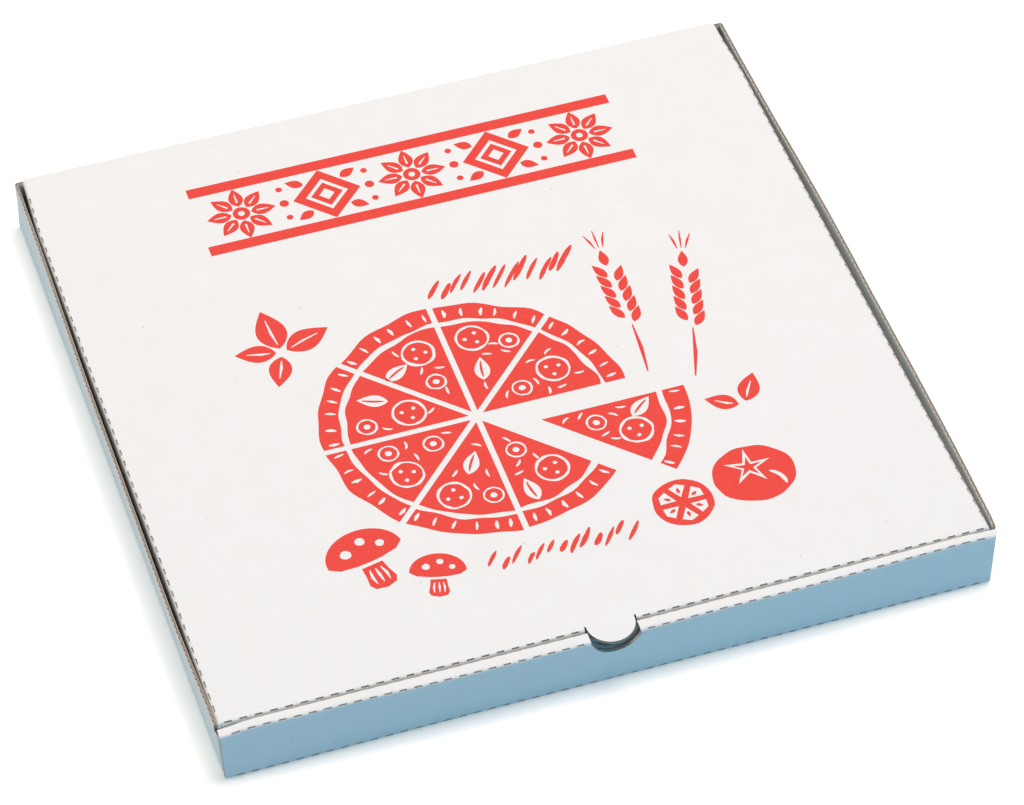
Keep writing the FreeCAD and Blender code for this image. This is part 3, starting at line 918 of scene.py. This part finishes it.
def hatching(draw, x, y, count, length, gap, turn, width):
    """A loose group of slanted brush strokes."""
    shapes = []
    for step in range(count):
        reach = length * draw.uniform(0.55, 1.0)
        line = curve((-reach / 2, 0), (draw.uniform(-1, 1), draw.uniform(-0.8, 0.8)),
                     (reach / 2, 0), 6)
        along = (step - count / 2) * gap
        middle = (x + along + draw.uniform(-0.4, 0.4), y + draw.uniform(-2.5, 2.5))
        shapes.append([turned_points(stroke(line, width * draw.uniform(0.8, 1.2)), *middle,
                                     turn + draw.uniform(-2, 2))])
    return shapes


def rosette(x, y):
    """Eight veined petals round a ring."""
    petal = [(u + 4.4, v) for u, v in leaf(11.4, 6.5)]
    vein = [(7.0, 0.5), (12.4, 0.2), (12.4, -0.2), (7.0, -0.5)]
    shapes = [[turned_points(line, x, y, 45 * step) for line in (petal, vein)]
              for step in range(8)]
    return shapes + [[disc(x, y, 3.9, 0.1), disc(x, y, 1.5)]]


def lozenge(x, y):
    """Two square frames on their corners, one in the other, with four small leaves round them."""
    shapes = []
    for reach, hole in ((15.6, 9.8), (7.4, 3.6)):
        shapes.append([turned_points([(size, 0), (0, size), (-size, 0), (0, -size)], x, y)
                       for size in (reach, hole)])
    for way_x in (-1, 1):
        for way_y in (-1, 1):
            turn = math.degrees(math.atan2(way_y * 0.5, way_x))
            shapes.append([turned_points(leaf(8.5, 4.8), x + way_x * 8.6, y + way_y * 8.4,
                                         turn)])
    return shapes


def band_shapes():
    """The border across the lid: rosettes and lozenges between two bars, dots between them."""
    low, high, left, right = 95.5, 138.5, -97.0, 101.0
    bar = 5.8
    fields = 5
    shapes = []
    for foot in (low, high - bar):
        shapes.append([[(left, foot), (right, foot), (right, foot + bar), (left, foot + bar)]])
    middle = (low + high) / 2
    pitch = (right - left) / fields
    for place in range(fields):
        x = left + pitch * (place + 0.5)
        shapes += rosette(x, middle) if place % 2 == 0 else lozenge(x, middle)
        if place:
            edge = left + pitch * place
            for rise, radius in ((0, 2.1), (-9.0, 1.5), (9.0, 1.5)):
                shapes.append([disc(edge, middle + rise, radius)])
    return shapes


def polar(centre, reach, angle):
    """The point at this distance and angle from a centre."""
    return centre[0] + reach * math.cos(angle), centre[1] + reach * math.sin(angle)


def arc(centre, reach, start, end, rough, seed, steps=16):
    """A hand-cut arc between two angles, held back by half the cut between slices."""
    inset = CUT_HALF / reach
    points = []
    for step in range(steps + 1):
        angle = mixed(start + inset, end - inset, step / steps)
        points.append(polar(centre, reach + rough * noise((angle * 5, seed, start)), angle))
    return points


def topping(kind, place, turn):
    """The hole that a topping leaves in the sauce, its own lines and the room that it takes."""
    if kind == "salami":
        dots = [disc(*polar(place, 3.2, turn + step * 2.1), 0.95, 0.2, 10) for step in range(3)]
        return disc(*place, 7.6, 0.5), [disc(*place, 6.4, 0.5), *dots], 9.4
    if kind == "olive":
        rings = [disc(*place, 3.7, 0.3, 24), disc(*place, 1.5, 0.2, 14)]
        return disc(*place, 4.6, 0.3, 24), rings, 6.4
    blade = [(u - 6.8, v) for u, v in leaf(13.6, 6.8)]
    vein = stroke(curve((-5, 0), (0, 0.7), (4.6, 0), 8), 1.1)
    return turned_points(blade, *place, turn), [turned_points(vein, *place, turn)], 8.4


def slice_shapes(draw, centre, radius, start, toppings):
    """One slice of the printed pizza: sauce with its toppings left white, and its crust."""
    low, high = math.radians(start), math.radians(start + SLICE_TURN)
    middle = (low + high) / 2
    shapes, holes, taken = [], [], []
    for kind, share, along, turn in toppings:
        place = polar(centre, along * radius, mixed(low, high, share))
        hole, lines, room = topping(kind, place, turn)
        holes.append(hole)
        shapes.append(lines)
        taken.append((place, room))
    # Cheese: small white dabs wherever the sauce is still free.
    for _ in range(60):
        angle, reach = draw.uniform(low, high), radius * draw.uniform(0.2, 0.76)
        place, turn = polar(centre, reach, angle), draw.uniform(0, 180)
        clear = min(angle - low, high - angle) * reach > 4.6
        if clear and all(math.dist(place, other) > room for other, room in taken):
            dab = stroke(curve((-2.2, 0), (0, draw.uniform(-1.2, 1.2)), (2.2, 0), 4), 1.1)
            holes.append(turned_points(dab, *place, turn))
            taken.append((place, 4.9))
    tip = polar(centre, CUT_HALF / math.sin(math.radians(SLICE_TURN / 2)), middle)
    shapes.append([[tip, *arc(centre, radius * SAUCE_END, low, high, 2.0, 1.0)], *holes])
    bubbles = []
    for step in range(6):
        angle = mixed(low, high, (step + 0.5 + draw.uniform(-0.15, 0.15)) / 6)
        run = [polar((0, 0), reach, draw.uniform(-0.25, 0.25)) for reach in (-2.3, 0, 2.3)]
        bubble = stroke(run, draw.uniform(1.2, 1.9), 0.4)
        bubbles.append(turned_points(bubble, *polar(centre, radius * BUBBLE_RING, angle),
                                     math.degrees(angle)))
    crust = (arc(centre, radius, low, high, 1.6, 5.0)
             + arc(centre, radius * CRUST_START, low, high, 1.6, 9.0)[::-1])
    shapes.append([crust, *bubbles])
    return shapes


def tomato_shapes(x, y):
    """A whole tomato with its calyx left white, and a cut one beside it."""
    star = [polar((x - 1, y + 4), 10.5 if step % 2 == 0 else 3.2, math.radians(36 * step + 12))
            for step in range(10)]
    small = [(x - 1 + (u - x + 1) * 0.62, y + 4 + (v - y - 4) * 0.56) for u, v in star]
    shine = turned_points(stroke(curve((-5, 0), (0, 3), (5, 0)), 1.9), x + 9, y - 5, -62)
    shapes = [[disc(x, y, 18.0, 1.2, 56, 0.88), star, shine], [small]]
    cut_one = (x - 33.5, y - 6)
    wedges = []
    for step in range(6):
        wedge = [polar(cut_one, reach, math.radians(60 * step + turn))
                 for reach, turn in ((3.0, 30), (9.6, 8), (10.6, 30), (9.6, 52))]
        wedges.append(wedge)
        turn = 60 * step + 30
        seed = turned_points(leaf(3.4, 1.6, 5), *polar(cut_one, 5.2, math.radians(turn)), turn)
        shapes.append([seed])
    shapes.append([disc(*cut_one, 13.0, 0.6), *wedges])
    return shapes


def mushroom_shapes(x, y, turn, size):
    """A mushroom with white spots on its cap and white folds in its stem."""
    cap = [(17 * math.cos(math.radians(a)), 14 * math.sin(math.radians(a)))
           for a in range(0, 181, 6)]
    cap += [(-13, -3.0), (-6, -4.2), (0, -4.5), (6, -4.2), (13, -3.0)]
    spots = [disc(*spot, 0.3, 20) for spot in ((-7, 4, 2.4), (1.5, 7.5, 2.1), (8.5, 3, 1.9))]
    stem = [(-4.8, -6.2), (4.8, -6.2), (5.2, -11), (6.2, -16), (4.8, -18.8), (0, -20),
            (-4.8, -18.8), (-6.2, -16), (-5.2, -11)]
    folds = [stroke([(side, -8.5), (side * 1.3, -12.5), (side * 1.2, -16.5)], 1.3)
             for side in (-2.4, 0.2, 2.6)]
    return [[turned_points(line, x, y, turn, size) for line in lines]
            for lines in ([cap, *spots], [stem, *folds])]


def basil_shapes(x, y, leaves):
    """Leaves (turn, length) round a point, each with its vein left white."""
    shapes = []
    for turn, length in leaves:
        blade = [(u + 2.5, v) for u, v in leaf(length, length * 0.56, 14)]
        vein = stroke([(5, 0), (length * 0.5, 0.3), (length * 0.86, 0)], 1.2)
        shapes.append([turned_points(line, x, y, turn) for line in (blade, vein)])
    return shapes


def wheat_shapes(x, y, turn):
    """An ear of wheat: stem, two staggered rows of grains, one at the tip and three awns."""
    lines = [stroke([(-18, 1.6), (-4, 0.2), (10.5, -0.2)], 1.9)]
    for row in range(5):
        for way in (-1, 1):
            along = 13.4 + row * 6.4 + way * 1.6
            lines.append(turned_points(leaf(10.0, 4.1), along, way * 1.6, way * 28))
    lines.append(turned_points(leaf(10.0, 4.4), 47.5, 0))
    for way, reach in ((-1, 9), (0, 11), (1, 9)):
        lines.append(stroke([(59, way * 1.8), (59 + reach / 2, way * 3),
                             (59 + reach, way * 4.6)], 1.1))
    return [[turned_points(line, x, y, turn)] for line in lines]


def picture_shapes():
    """The lid's picture: a sliced pizza with one slice drawn out, among what goes on it."""
    draw = random.Random(11)
    shapes = []
    centre, radius = (-16.0, -32.0), 67.0
    # The toppings of each slice: kind, share across the slice, share of the radius and turn.
    topped = (
        (("salami", 0.5, 0.64, 0.4), ("olive", 0.5, 0.38, 0)),
        (("leaf", 0.5, 0.42, 80), ("salami", 0.66, 0.69, 1.0), ("olive", 0.22, 0.7, 0)),
        (("salami", 0.36, 0.67, 2.0), ("leaf", 0.78, 0.64, 30), ("olive", 0.5, 0.4, 0)),
        (("olive", 0.76, 0.7, 0), ("leaf", 0.34, 0.68, 160), ("salami", 0.5, 0.43, 0.7)),
        (("salami", 0.68, 0.66, 0.2), ("olive", 0.26, 0.64, 0), ("olive", 0.5, 0.36, 0)),
        (("leaf", 0.5, 0.4, 60), ("salami", 0.34, 0.69, 1.4), ("olive", 0.8, 0.68, 0)),
        (("salami", 0.64, 0.65, 0.9), ("leaf", 0.24, 0.71, 100), ("olive", 0.5, 0.38, 0)),
        (("salami", 0.42, 0.66, 2.6), ("leaf", 0.8, 0.69, 40), ("olive", 0.5, 0.4, 0)),
    )
    for number, toppings in enumerate(topped):
        # The last slice is drawn out by this much.
        away = 24.0 if number == len(topped) - 1 else 0.0
        middle = polar(centre, away, math.radians(SLICE_TURN * (number + 0.5)))
        shapes += slice_shapes(draw, middle, radius, SLICE_TURN * number, toppings)
    shapes += tomato_shapes(84.0, -100.0)
    shapes += mushroom_shapes(-84.0, -92.0, 12, 1.0)
    shapes += mushroom_shapes(-58.0, -110.0, -14, 0.7)
    shapes += basil_shapes(-84.0, 30.0, ((20, 22), (95, 24), (168, 18), (250, 18)))
    shapes += basil_shapes(94.0, -62.0, ((60, 17), (150, 15)))
    shapes += wheat_shapes(86.0, -22.0, 76)
    shapes += wheat_shapes(64.0, -12.0, 88)
    shapes += hatching(draw, 22, 45, 13, 17, 5.0, 52, 2.0)
    shapes += hatching(draw, -2, -113, 13, 12, 5.0, 52, 2.0)
    return shapes


def make_print(name, shapes):
    """Lays flat shapes on the lid as one film of ink that follows its panel."""
    work = bmesh.new()
    for outlines in shapes:
        rings = [[Vector((u, v, 0)) for u, v in outline] for outline in outlines]
        flat = [work.verts.new(point) for ring in rings for point in ring]
        for corners in tessellate_polygon(rings):
            if len(set(corners)) == 3:
                work.faces.new([flat[number] for number in corners])
    for axis, (low, high) in enumerate(PRINT_AREA):
        for step in range(int((high - low) / PRINT_CELL)):
            place, normal = Vector(), Vector()
            place[axis], normal[axis] = low + step * PRINT_CELL, 1
            everything = work.verts[:] + work.edges[:] + work.faces[:]
            bmesh.ops.bisect_plane(work, geom=everything, plane_co=place, plane_no=normal)
    bmesh.ops.dissolve_degenerate(work, edges=work.edges, dist=0.01)
    bmesh.ops.recalc_face_normals(work, faces=work.faces)
    for item in work.faces:
        if item.normal.z < 0:
            item.normal_flip()
    lifted = bmesh.ops.extrude_face_region(work, geom=work.faces[:])
    tops = {item for item in lifted["geom"] if isinstance(item, bmesh.types.BMVert)}
    for vert in work.verts:
        height = INK_FILM if vert in tops else -INK_KEY
        x, y = vert.co.x, vert.co.y
        outer = lidded((x, y, HEIGHT), (x, y, HEIGHT), y)[0]
        vert.co = Vector((outer[0], outer[1], outer[2] + height)) * MM
    bmesh.ops.recalc_face_normals(work, faces=work.faces)
    mesh = bpy.data.meshes.new(name)
    work.to_mesh(mesh)
    work.free()
    mesh.materials.append(red_ink)
    piece = new_object(name, mesh)
    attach(piece, "lid")


def add(tree, kind, inputs=None, **settings):
    """Adds a node with its settings. An input that is a socket is linked, others are set."""
    made = tree.nodes.new(kind)
    for name, value in settings.items():
        setattr(made, name, value)
    for name, value in (inputs or {}).items():
        if isinstance(value, bpy.types.NodeSocket):
            tree.links.new(value, made.inputs[name])
        else:
            made.inputs[name].default_value = value
    return made


# A colour mix's two colours and its result, which share their names with its other sockets.
COLOUR_A, COLOUR_B, MIXED = 6, 7, 2


def new_material(name):
    """An empty material, and its tree of nodes."""
    material = bpy.data.materials.new(name)
    material.use_nodes = True
    material.node_tree.nodes.clear()
    return material, material.node_tree


def paper(name, colour, fibre, mottle, fleck, wear_colour, roughness):
    """Liner paper: felted fibres, cloudy formation, rare dark flecks and cracked creases."""
    material, tree = new_material(name)
    place = add(tree, "ShaderNodeTexCoord").outputs["Object"]
    # Fibres about 0.5 mm long are too fine for the view, so they are drawn at 1.2 mm.
    fibres = add(tree, "ShaderNodeTexNoise", {"Vector": place, "Scale": 1 / 0.0012,
                                              "Detail": 3.0, "Roughness": 0.7})
    # Cloudy formation of the sheet, patches 15 mm across.
    clouds = add(tree, "ShaderNodeTexNoise", {"Vector": place, "Scale": 1 / 0.015,
                                              "Detail": 2.0, "Roughness": 0.5})
    # Dark flecks of bark up to 0.9 mm wide, a few dozen on the lid.
    flecks = add(tree, "ShaderNodeTexVoronoi", {"Vector": place, "Scale": 1 / 0.014,
                                                "Randomness": 1.0}, feature="F1")
    is_fleck = add(tree, "ShaderNodeMapRange", {"Value": flecks.outputs["Distance"],
                                                "From Min": 0.014, "From Max": 0.032,
                                                "To Min": fleck, "To Max": 0.0})
    base = add(tree, "ShaderNodeMix", {"Factor": fibres.outputs["Fac"], COLOUR_A: linear(colour),
                                       COLOUR_B: linear(fibre)}, data_type="RGBA")
    cloudy = add(tree, "ShaderNodeMix", {"Factor": clouds.outputs["Fac"],
                                         COLOUR_A: base.outputs[MIXED], COLOUR_B: linear(mottle)},
                 data_type="RGBA", blend_type="MULTIPLY")
    worn = add(tree, "ShaderNodeAttribute", attribute_name="wear")
    # Cracks along a crease let the grey-brown ply show, in patches 1.5 mm long.
    cracks = add(tree, "ShaderNodeTexNoise", {"Vector": place, "Scale": 1 / 0.0015,
                                              "Detail": 4.0, "Roughness": 0.75})
    cracked = add(tree, "ShaderNodeMapRange", {"Value": cracks.outputs["Fac"],
                                               "From Min": 0.45, "From Max": 0.75,
                                               "To Min": 0.0, "To Max": 0.75})
    crease = add(tree, "ShaderNodeMath", {0: worn.outputs["Fac"], 1: cracked.outputs["Result"]},
                 operation="MULTIPLY")
    creased = add(tree, "ShaderNodeMix", {"Factor": crease.outputs["Value"],
                                          COLOUR_A: cloudy.outputs[MIXED],
                                          COLOUR_B: linear(wear_colour)}, data_type="RGBA")
    flecked = add(tree, "ShaderNodeMix", {"Factor": is_fleck.outputs["Result"],
                                          COLOUR_A: creased.outputs[MIXED],
                                          COLOUR_B: linear("6F675C")}, data_type="RGBA")
    flute = add(tree, "ShaderNodeAttribute", attribute_name="flute")
    phase = add(tree, "ShaderNodeMath", {0: flute.outputs["Fac"],
                                         1: 2 * math.pi / FLUTE_PITCH}, operation="MULTIPLY")
    wave = add(tree, "ShaderNodeMath", {0: phase.outputs["Value"]}, operation="SINE")
    # Washboarding: the liner sinks about 0.02 mm between the flute tips.
    board = add(tree, "ShaderNodeBump", {"Height": wave.outputs["Value"], "Strength": 0.5,
                                         "Distance": 0.00002})
    grain = add(tree, "ShaderNodeBump", {"Height": fibres.outputs["Fac"], "Strength": 0.35,
                                         "Distance": 0.00006,
                                         "Normal": board.outputs["Normal"]})
    shader = add(tree, "ShaderNodeBsdfPrincipled", {"Base Color": flecked.outputs[MIXED],
                                                    "Roughness": roughness, "IOR": 1.47,
                                                    "Specular IOR Level": 0.3,
                                                    "Normal": grain.outputs["Normal"]})
    add(tree, "ShaderNodeOutputMaterial", {"Surface": shader.outputs["BSDF"]})
    return material


def cut_board(name, colour, dark):
    """Cut or crushed board: torn brown fibres, rough and without any gloss."""
    material, tree = new_material(name)
    place = add(tree, "ShaderNodeTexCoord").outputs["Object"]
    # Torn fibre bundles about 0.6 mm thick.
    fibres = add(tree, "ShaderNodeTexNoise", {"Vector": place, "Scale": 1 / 0.0006,
                                              "Detail": 3.0, "Roughness": 0.7})
    base = add(tree, "ShaderNodeMix", {"Factor": fibres.outputs["Fac"], COLOUR_A: linear(colour),
                                       COLOUR_B: linear(dark)}, data_type="RGBA")
    bump = add(tree, "ShaderNodeBump", {"Height": fibres.outputs["Fac"], "Strength": 0.6,
                                        "Distance": 0.0001})
    shader = add(tree, "ShaderNodeBsdfPrincipled", {"Base Color": base.outputs[MIXED],
                                                    "Roughness": 0.95, "IOR": 1.47,
                                                    "Normal": bump.outputs["Normal"]})
    add(tree, "ShaderNodeOutputMaterial", {"Surface": shader.outputs["BSDF"]})
    return material


def flexo_ink(name):
    """Water-based flexographic ink on paper: matt, slightly starved where fibres stand proud."""
    material, tree = new_material(name)
    place = add(tree, "ShaderNodeTexCoord").outputs["Object"]
    # Mottle of the ink film, 2 mm patches, and pinholes about 0.4 mm wide.
    mottle = add(tree, "ShaderNodeTexNoise", {"Vector": place, "Scale": 1 / 0.002,
                                              "Detail": 3.0, "Roughness": 0.6})
    pins = add(tree, "ShaderNodeTexNoise", {"Vector": place, "Scale": 1 / 0.0009,
                                            "Detail": 2.0, "Roughness": 0.8})
    bare = add(tree, "ShaderNodeMapRange", {"Value": pins.outputs["Fac"], "From Min": 0.64,
                                            "From Max": 0.78, "To Min": 0.0, "To Max": 0.35})
    film = add(tree, "ShaderNodeMix", {"Factor": mottle.outputs["Fac"], COLOUR_A: linear("EC4A3E"),
                                       COLOUR_B: linear("E8473C")}, data_type="RGBA")
    printed = add(tree, "ShaderNodeMix", {"Factor": bare.outputs["Result"],
                                          COLOUR_A: film.outputs[MIXED],
                                          COLOUR_B: linear("F3DAD3")}, data_type="RGBA")
    shader = add(tree, "ShaderNodeBsdfPrincipled", {"Base Color": printed.outputs[MIXED],
                                                    "Roughness": 0.6, "IOR": 1.48,
                                                    "Specular IOR Level": 0.2})
    add(tree, "ShaderNodeOutputMaterial", {"Surface": shader.outputs["BSDF"]})
    return material


def seen_directly(tree):
    """Is 1 in the camera's view and in reflections, and 0 where light is shed on the box."""
    ray = add(tree, "ShaderNodeLightPath")
    seen = add(tree, "ShaderNodeMath", {0: ray.outputs["Is Camera Ray"],
                                        1: ray.outputs["Is Glossy Ray"]}, operation="MAXIMUM")
    return seen.outputs["Value"]


def studio_floor():
    """Pale paper sweep: white to the camera, and bounces a cool shade back on the box."""
    material, tree = new_material("pale_paper_sweep")
    seen = seen_directly(tree)
    colour = add(tree, "ShaderNodeMix", {"Factor": seen,
                                         COLOUR_A: linear("9CBCCC"), COLOUR_B: linear("FFF5EC")},
                 data_type="RGBA")
    shader = add(tree, "ShaderNodeBsdfPrincipled", {"Base Color": colour.outputs[MIXED],
                                                    "Roughness": 0.9})
    # A faint glow lifts the paper to white in the view, and adds no soft light to the box.
    glow = add(tree, "ShaderNodeEmission", {"Color": linear("FFFFFF"), "Strength": 0.34})
    none = add(tree, "ShaderNodeEmission", {"Color": linear("FFFFFF"), "Strength": 0.0})
    shown = add(tree, "ShaderNodeMixShader", {0: seen, 1: none.outputs["Emission"],
                                              2: glow.outputs["Emission"]})
    both = add(tree, "ShaderNodeAddShader", {0: shader.outputs["BSDF"],
                                             1: shown.outputs["Shader"]})
    add(tree, "ShaderNodeOutputMaterial", {"Surface": both.outputs["Shader"]})
    # It reaches 4 m each way, and lies 0.4 mm below the box so that the two don't flicker.
    half, level = 4, -0.0004
    mesh = bpy.data.meshes.new("studio_floor")
    mesh.from_pydata([(-half, -half, level), (half, -half, level), (half, half, level),
                      (-half, half, level)], [], [(0, 1, 2, 3)])
    mesh.materials.append(material)
    floor = new_object("studio_floor", mesh)


def studio_light():
    """A large soft light above, a cool fill from the front right, a warm one from the left."""
    world = bpy.data.worlds.new("surround")
    world.use_nodes = True
    tree = world.node_tree
    tree.nodes.clear()
    # A pale blue surround sheds light on the box, and the camera sees white in its place.
    lit = add(tree, "ShaderNodeBackground", {"Color": linear("AEDDED"), "Strength": 0.42})
    white = add(tree, "ShaderNodeBackground", {"Color": linear("FFFFFF"), "Strength": 1.0})
    shown = add(tree, "ShaderNodeMixShader", {0: seen_directly(tree),
                                              1: lit.outputs["Background"],
                                              2: white.outputs["Background"]})
    add(tree, "ShaderNodeOutputWorld", {"Surface": shown.outputs["Shader"]})
    bpy.context.scene.world = world
    # Name, place, size of the square, power in watts and colour. All of them face the box.
    lamps = (
        ("softbox_above", (0.4, 0.3, 2.6), 1.3, 59.0, "FFEAE5"),
        ("cool_fill", (0.9, -1.7, 0.5), 0.8, 6.5, "50BAFF"),
        ("side_fill", (-2.2, 0.2, 0.9), 0.8, 11.0, "FFF6EE"),
    )
    for name, place, size, power, colour in lamps:
        lamp = bpy.data.lights.new(name, "AREA")
        lamp.shape = "SQUARE"
        lamp.size = size
        lamp.energy = power
        lamp.color = linear(colour)[:3]
        item = new_object(name, lamp)
        item.location = place
        aim = -Vector(place)
        item.rotation_euler = aim.to_track_quat("-Z", "Y").to_euler()


def studio_camera():
    """The photograph's view: a long lens from the front left, above."""
    camera = bpy.data.cameras.new("camera")
    camera.sensor_width = 36.0
    camera.lens = 168.59
    camera.clip_end = 20.0
    item = new_object("camera", camera)
    # The view's axes and place, worked out from the photograph's perspective of the box.
    right = Vector((0.94864352, -0.31633942, 0.00219965))
    down = Vector((-0.23116681, -0.6979398, -0.67782146))
    forward = Vector((0.21595687, 0.64250246, -0.73522325))
    place = Vector((-0.4434, -1.3503, 1.5403))
    item.matrix_world = Matrix.Translation(place) @ Matrix(
        (right, -down, -forward)).transposed().to_4x4()
    bpy.context.scene.camera = item


# White-top liner: bleached fibres over a brown ply, matt, bright and very even.
white_top = paper("white_top_kraft_liner", colour="F4F2EE", fibre="EFEDE8", mottle="FAF9F7",
                  fleck=0.5, wear_colour="B9B0A4", roughness=0.72)
# Test liner inside the box: recycled fibre with a thin white ply, light grey and mottled.
test_liner = paper("recycled_test_liner", colour="DADCD8", fibre="CDCFCA", mottle="F0ECE4",
                   fleck=0.6, wear_colour="A4937B", roughness=0.85)
# Cut board edge: the liners' brown plies and the fluted medium, crushed by the die.
cut_edge = cut_board("die_cut_board_edge", colour="E3DACF", dark="BDB0A2")
# Fluting medium deep in the board: the same fibre, dark for want of light.
flute_hollow = cut_board("fluting_medium", colour="CDBFAF", dark="AE9F8E")
# Red flexographic ink, printed on the liner before the board is cut.
red_ink = flexo_ink("red_flexo_ink")

board_materials = (white_top, test_liner, cut_edge, flute_hollow)
tray_sheet = make_tray_sheet(board_materials)
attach(tray_sheet, "tray")
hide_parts("tray")

lid_sheet = make_lid_sheet(board_materials)
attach(lid_sheet, "lid")
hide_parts("lid")

hinge = make_hinge(board_materials)
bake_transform(hinge)

make_print("lid_border_print", band_shapes())
make_print("lid_picture_print", picture_shapes())

studio_floor()
studio_light()
studio_camera()
bpy.context.scene.view_settings.view_transform = "Standard"
